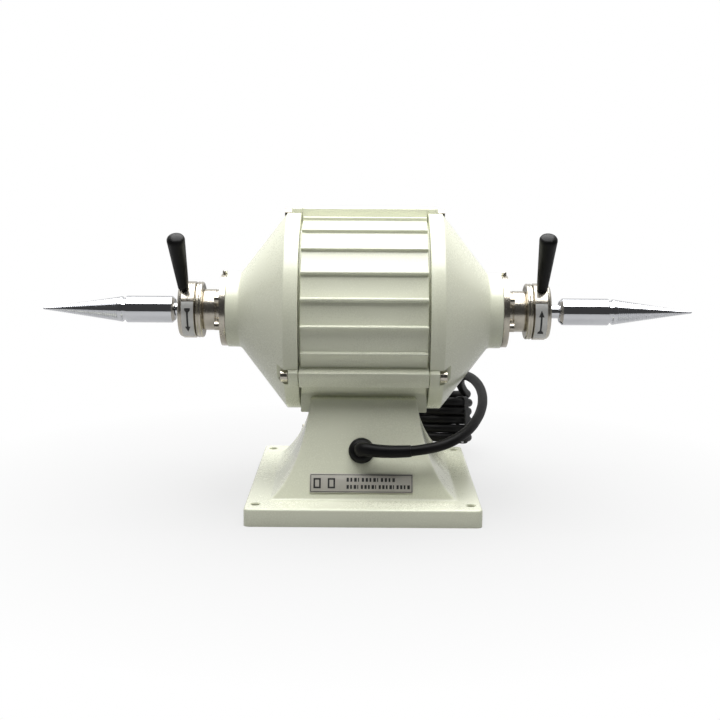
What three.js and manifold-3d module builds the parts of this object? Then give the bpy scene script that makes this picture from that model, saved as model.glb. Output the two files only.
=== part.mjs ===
// A double-ended polishing lathe: a finned motor on a cast pedestal, with a lever-operated
// quick-release chuck and a tapered, threaded spindle on each end.
// Units are millimetres, +Z is up, X runs along the motor shaft and the origin lies on the
// floor under the middle of the base plate. The operator stands on the +Y side.
import * as THREE from "three";
import { mergeVertices } from "three/addons/utils/BufferGeometryUtils.js";
import Module from "manifold-3d";

// ---- driving dimensions ------------------------------------------------------------------
const GAP = 0.3; // clearance between pieces that touch
const ROUND = { large: 40, middle: 24, small: 18, screw: 10 }; // facets round a turned piece
const AXIS_HEIGHT = 160;

const PLATE = { width: 190, depth: 224, thick: 14.7, corner: 5, bevel: 1.2, skin: 6 };
const PLATE_HOLE = { x: 86.4, y: 98, radius: 3.35 };
const PEDESTAL = { foot: 76.5, top: 44, footDepth: 87, topDepth: 57, height: 93.7, wall: 6 };
const SADDLE = { seat: 80, depth: 50 }; // the pocket in the pedestal top that holds the motor foot
const COVER = { width: 161, depth: 189, thick: 2 };

const HOUSING = { halfLength: 53.1, finHalfLength: 51.6, bore: 70, ring: 76.5 };
const FIN = { pitch: 15.5, steps: 8, root: 81.2, tip: 84, rootHalf: 1.4, tipHalf: 1.1 }; // steps from land to land
const LAND = { angles: [90, 214, 326], radius: 87.8, halfWidth: 8.1 };
const UNDERSIDE = [230, 246, 262, 278, 294, 310]; // corners of the plain wall below the two lower lands
const FOOT = { halfLength: 52.3, halfWidth: 49.6, top: 101.5 };

const BELL = { face: 53.4, rimEnd: 65.2, rimRadius: 84, coneRadius: 83.2, hubStart: 105.2, hubRadius: 31.8 };
const HUB_END = 117;
const BEARING = { start: 98, length: 14, bore: 10, outer: 23.5 };
const PRELOAD_WASHER = { start: 112.25, thick: 0.3, outer: 23, inner: 16.5 }; // a wave washer, pressed flat
const SCREW_CIRCLE = 82; // radius on which the end bell screws sit

const FLANGE = { start: 117.3, end: 122.3, radius: 31, bore: 13.6 };
const NECK = { radius: 17.6, end: 137.7, journalRadius: 17, journalEnd: 154.6 };
const BACK_RING = { start: 138, end: 143.4, radius: 24 };
const LEVER_RING = { start: 144, bandEnd: 155, end: 158.4, radius: 24.3 };
const FLANGE_SCREWS = { circle: 24, angles: [28, 152, 208, 332] };

const LEVER = { radiusFrom: 24.8, radiusTo: 80, bottomRadius: 4.8, topRadius: 7.6 };
// where each lever stands along the shaft, how far it leans to -Y and how far it tilts outwards
const LEVER_SET = { left: { at: 153.0, lean: 35, tilt: 1.5 }, right: { at: 150.8, lean: 33, tilt: 0 } };

const SPINDLE = { radius: 11.5, barrel: 42.2, coneBase: 46.4, coneRadius: 10.9, length: 114.6, shank: 5.75 };
const SPINDLE_TIP = { left: 277.4, right: 282.5 };
const SHANK_END = 131; // how far in each spindle's shank reaches, measured along the shaft

const GLAND = { x: -1.5, z: 53, radius: 10.6, reach: 5.5, stem: 7.6 };
const CORD = { radius: 4.25, sides: 8 };
const COIL = { x: 62, y: 150, z: 8.56, tilt: 9.98, meanRadius: 42.5, halfWidth: 4.9, height: 45 };

// ---- finishes ----------------------------------------------------------------------------
const finish = (color, roughness, metalness) =>
  new THREE.MeshStandardMaterial({ color, roughness, metalness });
const paint = finish(0xdfe3d3, 0.38, 0.0);
const nickel = finish(0xb9b2a2, 0.25, 1.0);
const chrome = finish(0xd8dade, 0.08, 1.0);
const steel = finish(0x8d9094, 0.4, 1.0);
const blackPlastic = finish(0x141414, 0.35, 0.0);
const blackRubber = finish(0x0d0d0d, 0.6, 0.0);
const labelFoil = finish(0xc9c6bd, 0.4, 0.3);
const copper = finish(0xb06a3c, 0.45, 0.9);
const laminations = finish(0x5d6166, 0.5, 0.9);
const greyPlastic = finish(0x3a3d40, 0.5, 0.0);

// ---- making and cutting solids -----------------------------------------------------------
const wasm = await Module();
wasm.setup();

// a closed three.js geometry as a solid that can be joined and cut
function solid(geometry) {
  const bare = geometry.clone();
  bare.deleteAttribute("normal");
  bare.deleteAttribute("uv");
  const merged = mergeVertices(bare, 1e-4);
  return new wasm.Manifold(
    new wasm.Mesh({
      numProp: 3,
      vertProperties: merged.attributes.position.array,
      triVerts: new Uint32Array(merged.index.array),
    }),
  );
}

function geometryOf(body) {
  const mesh = body.getMesh();
  const geometry = new THREE.BufferGeometry();
  geometry.setAttribute("position", new THREE.BufferAttribute(mesh.vertProperties, 3));
  geometry.setIndex(new THREE.BufferAttribute(mesh.triVerts, 1));
  geometry.computeVertexNormals();
  return geometry;
}

const join = (first, ...rest) => rest.reduce((all, piece) => all.add(piece), first);
const cut = (first, ...rest) => rest.reduce((all, piece) => all.subtract(piece), first);

function addPiece(group, name, body, material) {
  const geometry = body.isBufferGeometry ? body : geometryOf(body);
  const mesh = new THREE.Mesh(geometry, material);
  mesh.name = name;
  group.add(mesh);
  return mesh;
}

const radians = THREE.MathUtils.degToRad;

// a turned piece about the X axis; the outline is a list of [x, radius], from the -X end round
// the outside to the +X end, and back along the bore where there is one
function turned(outline, segments = ROUND.middle) {
  const points = outline.map(([x, radius]) => new THREE.Vector2(radius, x));
  const bored = outline[0][1] > 0;
  if (bored) points.push(points[0].clone());
  return solid(new THREE.LatheGeometry(points, segments).rotateZ(-Math.PI / 2));
}

const rod = (x0, x1, radius, segments = ROUND.small) =>
  turned([[x0, 0], [x0, radius], [x1, radius], [x1, 0]], segments);

const tubeAlong = (x0, x1, radius, bore, segments = ROUND.middle) =>
  turned([[x0, bore], [x0, radius], [x1, radius], [x1, bore]], segments);

function block(x0, x1, y0, y1, z0, z1) {
  const box = new THREE.BoxGeometry(x1 - x0, y1 - y0, z1 - z0);
  return solid(box.translate((x0 + x1) / 2, (y0 + y1) / 2, (z0 + z1) / 2));
}

// an outline drawn in Y and Z, extruded along X
function alongX(shape, x0, x1) {
  const turn = new THREE.Matrix4().makeBasis(
    new THREE.Vector3(0, 1, 0),
    new THREE.Vector3(0, 0, 1),
    new THREE.Vector3(1, 0, 0),
  );
  const geometry = new THREE.ExtrudeGeometry(shape, { depth: x1 - x0, bevelEnabled: false });
  return solid(geometry.applyMatrix4(turn).translate(x0, 0, 0));
}

// an outline drawn in X and Z, extruded along Y
function alongY(shape, y0, y1) {
  const geometry = new THREE.ExtrudeGeometry(shape, { depth: y1 - y0, bevelEnabled: false });
  return solid(geometry.rotateX(Math.PI / 2).translate(0, y1, 0));
}

// an upright cylinder
function post(x, y, z0, z1, radius, segments = ROUND.screw) {
  const geometry = new THREE.CylinderGeometry(radius, radius, z1 - z0, segments);
  return solid(geometry.rotateX(Math.PI / 2).translate(x, y, (z0 + z1) / 2));
}

// moves a copy of a solid from the shaft's line to an angle and radius round it
function around(body, angle, radius) {
  const place = new THREE.Matrix4()
    .makeRotationX(radians(90 - angle))
    .multiply(new THREE.Matrix4().makeTranslation(0, 0, radius));
  return body.transform(place.elements);
}

function roundedRectangle(width, depth, corner) {
  const [w, d] = [width / 2, depth / 2];
  const shape = new THREE.Shape();
  shape.moveTo(-w + corner, -d).lineTo(w - corner, -d);
  shape.absarc(w - corner, -d + corner, corner, -Math.PI / 2, 0);
  shape.absarc(w - corner, d - corner, corner, 0, Math.PI / 2);
  shape.absarc(-w + corner, d - corner, corner, Math.PI / 2, Math.PI);
  shape.absarc(-w + corner, -d + corner, corner, Math.PI, Math.PI * 1.5);
  return shape;
}

// a hexagon socket head screw along +X, its head's underside at x = 0
function capScrew(headRadius, headLength, shankRadius, shankLength) {
  const screw = turned([
    [-shankLength, 0], [-shankLength, shankRadius], [0, shankRadius], [0, headRadius],
    [headLength - 0.5, headRadius], [headLength, headRadius - 0.5], [headLength, 0],
  ], ROUND.screw);
  const socket = rod(headLength * 0.45, headLength + 1, headRadius * 0.55, 6);
  return cut(screw, socket);
}

// ---- the base ----------------------------------------------------------------------------
// the pedestal's front outline, flaring into the plate, made smaller by an inset
function pedestalFront(inset, bottom, top) {
  const foot = PEDESTAL.foot - inset;
  const neck = PEDESTAL.top - inset;
  const shape = new THREE.Shape();
  shape.moveTo(-foot, bottom).lineTo(foot, bottom).lineTo(foot, PLATE.thick);
  shape.bezierCurveTo(55 - inset, 33, 47.5 - inset, 62, neck, PEDESTAL.height);
  shape.lineTo(neck, top).lineTo(-neck, top).lineTo(-neck, PEDESTAL.height);
  shape.bezierCurveTo(-47.5 + inset, 62, -55 + inset, 33, -foot, PLATE.thick);
  return shape;
}

// the pedestal's side outline, its front and back leaning in towards the motor
function pedestalSide(inset, bottom, top) {
  const lean = (PEDESTAL.footDepth - PEDESTAL.topDepth) / (PEDESTAL.height - PLATE.thick);
  const half = (z) => PEDESTAL.footDepth - inset - (z - PLATE.thick) * lean;
  return new THREE.Shape([
    new THREE.Vector2(-half(bottom), bottom), new THREE.Vector2(half(bottom), bottom),
    new THREE.Vector2(half(top), top), new THREE.Vector2(-half(top), top),
  ]);
}

function pedestalBody(inset, bottom, top) {
  const front = alongY(pedestalFront(inset, bottom, Math.max(top, PEDESTAL.height)), -120, 120);
  return front.intersect(alongX(pedestalSide(inset, bottom, top), -120, 120));
}

const faceLean = Math.atan2(PEDESTAL.footDepth - PEDESTAL.topDepth, PEDESTAL.height - PLATE.thick);
// the depth of the pedestal's leaning face at a height
const faceDepth = (z) => PEDESTAL.footDepth - (z - PLATE.thick) * Math.tan(faceLean);

// a group whose +Z stands out of the pedestal's front (side -1) or back (side +1) face
function onPedestalFace(side, x, z, parent) {
  const group = new THREE.Group();
  group.position.set(x, side * faceDepth(z), z);
  group.rotation.set(side * -(Math.PI / 2 - faceLean), 0, 0);
  parent.add(group);
  group.updateMatrixWorld(true);
  return group;
}

const MOUNT_SCREWS = [[-30, -34], [30, -34], [-30, 34], [30, 34]];
const SWITCH = { z: 56, barrel: 9, body: 36, depth: 30 };

function makeBase(root) {
  const slab = solid(new THREE.ExtrudeGeometry(
    roundedRectangle(PLATE.width - 2 * PLATE.bevel, PLATE.depth - 2 * PLATE.bevel, PLATE.corner),
    {
      depth: PLATE.thick - PLATE.bevel, bevelThickness: PLATE.bevel, bevelSize: PLATE.bevel,
      bevelSegments: 1, curveSegments: 5,
    },
  ));
  const square = cut(slab, block(-120, 120, -130, 130, -5, 0));
  let casting = join(square, pedestalBody(0, PLATE.thick - 5, PEDESTAL.height));
  // hollow inside, with a recess for the bottom cover and an open pocket for the motor foot
  casting = cut(
    casting,
    pedestalBody(PEDESTAL.wall, -1, SADDLE.seat - 8),
    block(-77, 77, -90, 90, -1, PLATE.thick - PLATE.skin),
    block(-COVER.width / 2 - GAP, COVER.width / 2 + GAP, -COVER.depth / 2 - GAP,
      COVER.depth / 2 + GAP, -1, COVER.thick + 0.6),
    block(-60, 60, -SADDLE.depth, SADDLE.depth, SADDLE.seat, 120),
    post(0, 0, 60, 90, 9),
  );
  for (const x of [-1, 1])
    for (const y of [-1, 1])
      casting = cut(casting, post(x * PLATE_HOLE.x, y * PLATE_HOLE.y, -1, 20, PLATE_HOLE.radius));
  for (const [x, y] of MOUNT_SCREWS) casting = cut(casting, post(x, y, 60, 90, 3.3));
  casting = cut(
    casting,
    faceHole(-1, GLAND.x, GLAND.z, GLAND.stem + GAP),
    faceHole(1, 0, SWITCH.z, SWITCH.barrel + GAP),
  );
  addPiece(root, "base_casting", casting, paint);

  const half = [COVER.width / 2, COVER.depth / 2];
  addPiece(root, "bottom_cover", block(-half[0], half[0], -half[1], half[1], 0.2, 0.2 + COVER.thick), steel);

  for (const [index, [x, y]] of MOUNT_SCREWS.entries()) {
    const screw = capScrew(5, 5, 3, 22);
    const mesh = addPiece(root, "motor_mount_screw_" + (index + 1), screw, steel);
    mesh.rotation.y = Math.PI / 2;
    mesh.position.set(x, y, SADDLE.seat - 8 - GAP);
  }
}

// a round hole through one leaning wall of the pedestal
function faceHole(side, x, z, radius) {
  const drill = new THREE.CylinderGeometry(radius, radius, 30, 20).rotateX(Math.PI / 2);
  drill.rotateX(side * -(Math.PI / 2 - faceLean));
  return solid(drill.translate(x, side * faceDepth(z), z));
}

function makeLabel(root) {
  const face = onPedestalFace(-1, -1.5, 28, root);
  const plate = new THREE.BoxGeometry(84, 15.6, 0.8).translate(0, 0, 0.4 + GAP);
  addPiece(face, "label_plate", plate, labelFoil);
}

// ---- inside the pedestal -----------------------------------------------------------------
function makeElectrics(root) {
  addPiece(root, "run_capacitor", turned([
    [-31, 0], [-31, 15], [-28.5, 17.5], [28, 17.5], [30, 15.5], [31, 15.5], [31, 0],
  ], ROUND.small).translate([0, 14, 21]), greyPlastic);

  const strip = block(-26, 26, -40, -22, 3, 17);
  const channels = [-18, -6, 6, 18].map((x) => block(x - 3.5, x + 3.5, -45, -17, 12, 20));
  addPiece(root, "terminal_block", cut(strip, ...channels), greyPlastic);
}

function makeSwitch(root) {
  const face = onPedestalFace(1, 0, SWITCH.z, root);
  const h = SWITCH.body / 2;
  const inner = -PEDESTAL.wall - 3;
  const barrel = solid(new THREE.CylinderGeometry(SWITCH.barrel, SWITCH.barrel, 8, 20)
    .rotateX(Math.PI / 2).translate(0, 0, inner + 3));
  const body = join(block(-h, h, -h, h, inner - SWITCH.depth, inner), barrel);
  addPiece(face, "switch_body", body, greyPlastic);

  const plate = solid(new THREE.ExtrudeGeometry(roundedRectangle(50, 50, 5), {
    depth: 1.6, bevelEnabled: false, curveSegments: 4,
  }).translate(0, 0, GAP));
  const spindleHole = solid(new THREE.CylinderGeometry(4, 4, 10, 20).rotateX(Math.PI / 2));
  addPiece(face, "switch_plate", cut(plate, spindleHole), blackPlastic);

  const skirt = solid(new THREE.CylinderGeometry(14.5, 16, 4, 32).rotateX(Math.PI / 2).translate(0, 0, 4.3));
  const grip = block(-4, 4, -14.8, 14.8, 5, 17);
  const stem = solid(new THREE.CylinderGeometry(3.4, 3.4, 4, 20).rotateX(Math.PI / 2).translate(0, 0, 1.4));
  addPiece(face, "switch_knob", join(skirt, grip, stem), blackPlastic);
}

// ---- the motor ---------------------------------------------------------------------------
// the finned outline in Y and Z: fins with flat panels between, three wide lands and a plain underside
function housingOutline() {
  const points = [];
  const addCorner = (angle, radius, across) => {
    const [c, s] = [Math.cos(radians(angle)), Math.sin(radians(angle))];
    points.push(new THREE.Vector2(radius * c - across * s, radius * s + across * c));
  };
  for (let step = -FIN.steps; step <= FIN.steps; step += 1) {
    const angle = 90 + step * FIN.pitch;
    const land = step % FIN.steps === 0;
    const tip = land ? LAND.radius : FIN.tip;
    const rootHalf = land ? LAND.halfWidth : FIN.rootHalf;
    const tipHalf = land ? LAND.halfWidth : FIN.tipHalf;
    addCorner(angle, FIN.root, -rootHalf);
    addCorner(angle, tip, -tipHalf);
    addCorner(angle, tip, tipHalf);
    addCorner(angle, FIN.root, rootHalf);
  }
  for (const angle of UNDERSIDE) addCorner(angle, FIN.root, 0);
  return new THREE.Shape(points);
}

function makeHousing(motor) {
  const bore = rod(-80, 80, HOUSING.bore, ROUND.large);
  const fins = alongX(housingOutline(), -HOUSING.finHalfLength, HOUSING.finHalfLength);
  const ring = rod(-HOUSING.halfLength, HOUSING.halfLength, HOUSING.ring, ROUND.large);
  const seat = SADDLE.seat + GAP - AXIS_HEIGHT;
  const foot = block(-FOOT.halfLength, FOOT.halfLength, -FOOT.halfWidth, FOOT.halfWidth,
    seat, FOOT.top - AXIS_HEIGHT);
  const landEnds = LAND.angles.map((angle) => around(
    block(-HOUSING.halfLength, HOUSING.halfLength, -LAND.halfWidth, LAND.halfWidth, -10, 0),
    angle, LAND.radius,
  ));
  let housing = cut(join(fins, ring, foot, ...landEnds), bore);
  const screwHole = rod(35, 60, 3.2, ROUND.screw);
  for (const angle of LAND.angles)
    housing = cut(housing, around(screwHole, angle, SCREW_CIRCLE),
      around(screwHole.mirror([1, 0, 0]), angle, SCREW_CIRCLE));
  for (const [x, y] of MOUNT_SCREWS) housing = cut(housing, post(x, y, seat - 1, seat + 16, 3.3));
  // the wall is milled off level with the foot, and the leads pass through its middle
  housing = cut(housing, block(-60, 60, -60, 60, seat - 10, seat), post(0, 0, seat - 1, -HOUSING.bore + 10, 9));
  addPiece(motor, "motor_housing", housing, paint);
}

const SLOTS = { count: 12, inner: 42, outer: 59, half: 4.6, mouth: 1.4 };
const STATOR = { halfLength: 30, outer: 69.6, bore: 36 };

function makeStator(motor) {
  const cuts = [];
  const bars = [];
  for (let index = 0; index < SLOTS.count; index += 1) {
    const angle = (index * 360) / SLOTS.count + 15;
    const [i, o, h] = [SLOTS.inner, SLOTS.outer, SLOTS.half];
    cuts.push(around(block(-40, 40, -h, h, i, o), angle, 0));
    cuts.push(around(block(-40, 40, -SLOTS.mouth, SLOTS.mouth, STATOR.bore - 2, i + 1), angle, 0));
    bars.push(around(block(-32, 32, -h + GAP, h - GAP, i + GAP, o - GAP), angle, 0));
  }
  const core = tubeAlong(-STATOR.halfLength, STATOR.halfLength, STATOR.outer, STATOR.bore, 36);
  addPiece(motor, "stator_core", cut(core, ...cuts), laminations);

  const overhang = (x0, x1) => tubeAlong(x0, x1, SLOTS.outer + 2, SLOTS.inner - 2);
  const start = STATOR.halfLength + GAP;
  const winding = join(overhang(start, 46), overhang(-46, -start), ...bars);
  addPiece(motor, "stator_winding", winding, copper);
}

function makeRotor(motor) {
  const core = turned([
    [-34, 11.3], [-34, 30], [-30, 30], [-30, 35.4], [30, 35.4], [30, 30], [34, 30], [34, 11.3],
  ]);
  addPiece(motor, "rotor_core", core, laminations);
  // shaft with bearing journals, stepped down inside each collet
  const journal = BEARING.start - 1;
  const half = [
    [journal, 11], [journal, BEARING.bore - GAP], [HUB_END, BEARING.bore - GAP], [HUB_END, 8],
    [127, 8], [127, 0],
  ];
  const other = half.map(([x, r]) => [-x, r]).reverse();
  addPiece(motor, "motor_shaft", turned([...other, ...half], ROUND.small), steel);
}

// ---- what each end of the motor carries, drawn for the +X end -----------------------------
function makeEndBell(end, name) {
  const shoulder = BEARING.start - GAP;
  const outline = [
    [47.5, 66], [47.5, HOUSING.bore - GAP], [BELL.face, HOUSING.bore - GAP],
    [BELL.face, BELL.rimRadius - 0.5], [BELL.face + 0.5, BELL.rimRadius],
    [BELL.rimEnd - 0.8, BELL.rimRadius], [BELL.rimEnd, BELL.coneRadius],
    [BELL.hubStart - 1.5, BELL.hubRadius + 2.2], [BELL.hubStart + 1.5, BELL.hubRadius],
    [HUB_END - 0.4, BELL.hubRadius], [HUB_END, BELL.hubRadius - 0.4],
    [HUB_END, BEARING.outer + GAP], [shoulder, BEARING.outer + GAP], [shoulder, 20.5],
    [90, 20.5], [90, 43.7], [72.4, 66],
  ];
  let bell = turned(outline, ROUND.large);
  // a lug over each land, and behind it a pocket for the screw head
  const lug = block(BELL.face, 61.6, -LAND.halfWidth, LAND.halfWidth, -12, 0);
  const pocket = block(61.6, 76, -LAND.halfWidth, LAND.halfWidth, -5.8, 12);
  const hole = rod(40, 70, 3.2, ROUND.screw);
  for (const angle of LAND.angles)
    bell = cut(
      join(bell, around(lug, angle, LAND.radius)),
      around(pocket, angle, SCREW_CIRCLE),
      around(hole, angle, SCREW_CIRCLE),
    );
  addPiece(end, name + "_end_bell", bell, paint);

  for (const [index, angle] of LAND.angles.entries()) {
    const screw = around(capScrew(5, 6, 2.9, 25).translate([61.6 + GAP, 0, 0]), angle, SCREW_CIRCLE);
    addPiece(end, name + "_bell_screw_" + (index + 1), screw, nickel);
  }
}

function makeBearing(end, name) {
  const [x0, x1] = [BEARING.start, BEARING.start + BEARING.length];
  const race = turned([
    [x0, BEARING.bore], [x0, 13.4], [x0 + 1, 13.8], [x0 + 1, 19.6], [x0, 20], [x0, BEARING.outer],
    [x1, BEARING.outer], [x1, 20], [x1 - 1, 19.6], [x1 - 1, 13.8], [x1, 13.4], [x1, BEARING.bore],
  ], ROUND.small);
  addPiece(end, name + "_bearing", race, steel);
}

// it loads both bearings endways, from behind the left one
function makeWasher(motor) {
  const { start, thick, outer, inner } = PRELOAD_WASHER;
  addPiece(motor, "preload_washer", tubeAlong(-start - thick, -start, outer, inner), steel);
}

function makeSleeve(end, name) {
  // register spigot, round flange, neck and the journal that the lever ring turns on
  let sleeve = turned([
    [112.8, 15], [112.8, BEARING.outer - 0.2], [HUB_END, BEARING.outer - 0.2],
    [FLANGE.start, BEARING.outer - 0.2], [FLANGE.start, FLANGE.radius - 0.3],
    [FLANGE.start + 0.3, FLANGE.radius], [FLANGE.end - 0.5, FLANGE.radius],
    [FLANGE.end, FLANGE.radius - 0.5], [FLANGE.end, NECK.radius], [NECK.end, NECK.radius],
    [NECK.end, NECK.journalRadius], [NECK.journalEnd, NECK.journalRadius],
    [NECK.journalEnd, FLANGE.bore], [120, FLANGE.bore], [118, 15],
  ], 28);
  const hole = rod(100, 130, 2.4, 8);
  for (const angle of FLANGE_SCREWS.angles)
    sleeve = cut(sleeve, around(hole, angle, FLANGE_SCREWS.circle));
  sleeve = cut(sleeve, post(119.8, 0, 25, 40, 1.8, 8));
  addPiece(end, name + "_sleeve_flange", sleeve, nickel);

  for (const [index, angle] of FLANGE_SCREWS.angles.entries()) {
    const screw = around(
      capScrew(3.8, 4.2, 2, 4.6).translate([FLANGE.end + GAP, 0, 0]), angle, FLANGE_SCREWS.circle);
    addPiece(end, name + "_flange_screw_" + (index + 1), screw, nickel);
  }
  addPiece(end, name + "_oil_screw", oilScrew(), nickel);
}

const oilScrew = () => join(post(119.8, 0, 26, 33, 1.4, 8), post(119.8, 0, FLANGE.radius + GAP, 34, 2, 8));

function makeBackRing(end, name) {
  addPiece(end, name + "_back_ring", turned([
    [BACK_RING.start, NECK.journalRadius + GAP], [BACK_RING.start, BACK_RING.radius - 0.6],
    [BACK_RING.start + 0.6, BACK_RING.radius], [BACK_RING.end - 0.6, BACK_RING.radius],
    [BACK_RING.end, BACK_RING.radius - 0.6], [BACK_RING.end, NECK.journalRadius + GAP],
  ], 28), nickel);
}

function makeLever(end, name, side) {
  const set = LEVER_SET[side];
  const lever = new THREE.Group();
  end.add(lever);
  // the ring: label band, chamfered lip, and a front web round the spindle's shank
  const bore = NECK.journalRadius + 0.35;
  let ring = turned([
    [LEVER_RING.start, bore], [LEVER_RING.start, LEVER_RING.radius - 0.5],
    [LEVER_RING.start + 0.5, LEVER_RING.radius], [LEVER_RING.bandEnd, LEVER_RING.radius],
    [LEVER_RING.bandEnd + 0.4, LEVER_RING.radius - 0.5], [LEVER_RING.end - 1.2, LEVER_RING.radius - 0.9],
    [LEVER_RING.end, LEVER_RING.radius - 2.4], [LEVER_RING.end, 8], [155, 8], [155, bore],
  ], 28);
  const arm = new THREE.Matrix4()
    .makeTranslation(set.at, 0, 0)
    .multiply(new THREE.Matrix4().makeRotationX(radians(side === "left" ? -set.lean : set.lean)))
    .multiply(new THREE.Matrix4().makeRotationY(radians(set.tilt)));
  const onArm = (body) => body.transform(arm.elements);
  ring = cut(ring, onArm(post(0, 0, 18.5, 30, 3.3)));
  addPiece(lever, name + "_lever_ring", ring, nickel);

  const stud = join(post(0, 0, 19, 34, 3), post(0, 0, LEVER.radiusFrom, LEVER.radiusFrom + 1.5, 4.4));
  addPiece(lever, name + "_lever_stud", onArm(stud), steel);

  const [from, to] = [LEVER.radiusFrom + 1.5 + GAP, LEVER.radiusTo];
  const handle = turned([
    [from, 0], [from, LEVER.bottomRadius], [to - 5, LEVER.topRadius], [to - 3, LEVER.topRadius],
    [to - 1, LEVER.topRadius - 2], [to, LEVER.topRadius - 5], [to, 0],
  ], ROUND.small);
  const upright = new THREE.Matrix4().makeRotationY(-Math.PI / 2);
  const socket = post(0, 0, 20, 35, 3 + GAP);
  addPiece(lever, name + "_lever_handle", onArm(cut(handle.transform(upright.elements), socket)), blackPlastic);
}

function makeCollet(end, name) {
  // a split sleeve on the end of the shaft; its fingers grip the spindle's shank
  let collet = turned([
    [HUB_END + 1, 8 + GAP], [HUB_END + 1, 11.5], [139, 11.5], [139, 9.6], [149.5, 9.6],
    [151.5, 10.6], [152.6, 9.8], [152.6, 6.1], [128, 6.1], [128, 8 + GAP],
  ], ROUND.small);
  for (const angle of [0, 120, 240])
    collet = cut(collet, around(block(132, 160, -0.7, 0.7, 3, 20), angle, 0));
  addPiece(end, name + "_collet", collet, steel);
}

function makeCloser(end, name) {
  addPiece(end, name + "_closer_sleeve", tubeAlong(141, 152, FLANGE.bore - 2 * GAP, 11), steel);
}

function makeSpindle(end, name, tip) {
  const back = tip - SPINDLE.length;
  const at = (distance) => back + distance;
  const barrelEnd = at(SPINDLE.barrel);
  addPiece(end, name + "_spindle", turned([
    [SHANK_END, 0], [SHANK_END, SPINDLE.shank - 0.8], [SHANK_END + 0.8, SPINDLE.shank],
    [back, SPINDLE.shank], [back, SPINDLE.radius - 2.4], [at(2.4), SPINDLE.radius],
    [barrelEnd - 1, SPINDLE.radius], [barrelEnd, SPINDLE.radius - 1], [barrelEnd, SPINDLE.radius - 2],
    [at(SPINDLE.coneBase - 1.2), SPINDLE.radius - 2], [at(SPINDLE.coneBase - 1.2), SPINDLE.coneRadius],
    [at(SPINDLE.coneBase), SPINDLE.coneRadius], [at(SPINDLE.length - 1.5), 0.9], [tip, 0],
  ]), chrome);
}

function makeEnd(motor, side) {
  const end = new THREE.Group();
  if (side === "left") end.rotation.z = Math.PI;
  motor.add(end);
  makeEndBell(end, side);
  makeBearing(end, side);
  makeSleeve(end, side);
  makeBackRing(end, side);
  makeLever(end, side, side);
  makeCollet(end, side);
  makeCloser(end, side);
  makeSpindle(end, side, SPINDLE_TIP[side]);
}

// ---- the mains cord ----------------------------------------------------------------------
const spot = (x, y, z) => new THREE.Vector3(x, y, z);

// the middle line of the elbow boot, from the gland's face to where the bare cord comes out
const BOOT_LINE = [
  spot(-1.5, -78.3, 55.2), spot(-1.5, -80.6, 56.1), spot(-0.3, -83.6, 57), spot(3.6, -85.8, 57.2),
  spot(9, -86.6, 56.6), spot(20, -87, 56), spot(36, -88, 56.6),
];
// the cord from the boot, round the side of the base and over the top of the coil
const CORD_LINE = [
  spot(36.6, -88.04, 56.62), spot(44, -88.6, 57.6), spot(52, -88.4, 58.9), spot(61, -86.5, 60.6),
  spot(70.5, -81.5, 63), spot(79.5, -72.5, 66), spot(88, -59, 69.6), spot(95, -41, 73.4),
  spot(100.5, -20, 77.2), spot(104, 3, 81), spot(105, 26, 85), spot(103.2, 48, 88.4),
  spot(99, 70, 90), spot(94.8, 90, 88.2), spot(93, 108, 82.6), spot(94, 124, 75), spot(97, 139, 67.6),
  spot(100.6, 153, 61.2), spot(103.5, 166, 57),
];
// the end of the cord, from under the coil to the plug
const TAIL_LINE = [
  spot(46, 198.6, 4.8), spot(36, 200.5, 4.6), spot(25, 201.5, 5.2), spot(14, 201, 7.5),
  spot(4, 199.8, 10.5), spot(-3.8, 199, 12.6),
];
const PLUG = { x: -5.4, y: 198.9, z: 13.2, bodyLength: 40, pinLength: 19 };

// a round rod that follows a line of points, its radius changing evenly along it
function followLine(points, steps, startRadius, endRadius = startRadius) {
  const curve = new THREE.CatmullRomCurve3(points, false, "centripetal");
  const section = new THREE.Shape();
  for (let side = 0; side < CORD.sides; side += 1) {
    const angle = (side / CORD.sides) * 2 * Math.PI;
    const place = [startRadius * Math.cos(angle), startRadius * Math.sin(angle)];
    if (side === 0) section.moveTo(...place);
    else section.lineTo(...place);
  }
  section.closePath();
  const geometry = new THREE.ExtrudeGeometry(section, { steps, extrudePath: curve, bevelEnabled: false });
  if (endRadius !== startRadius) taper(geometry, curve, steps, endRadius / startRadius);
  return geometry;
}

// draws each ring of an extruded rod in towards its line, from full size to the given share
function taper(geometry, curve, steps, share) {
  const position = geometry.attributes.position;
  const centres = curve.getSpacedPoints(steps);
  const point = new THREE.Vector3();
  for (let index = 0; index < position.count; index += 1) {
    point.fromBufferAttribute(position, index);
    let nearest = 0;
    for (let step = 1; step <= steps; step += 1)
      if (point.distanceTo(centres[step]) < point.distanceTo(centres[nearest])) nearest = step;
    const scale = 1 + (share - 1) * (nearest / steps);
    point.sub(centres[nearest]).multiplyScalar(scale).add(centres[nearest]);
    position.setXYZ(index, point.x, point.y, point.z);
  }
}

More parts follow.
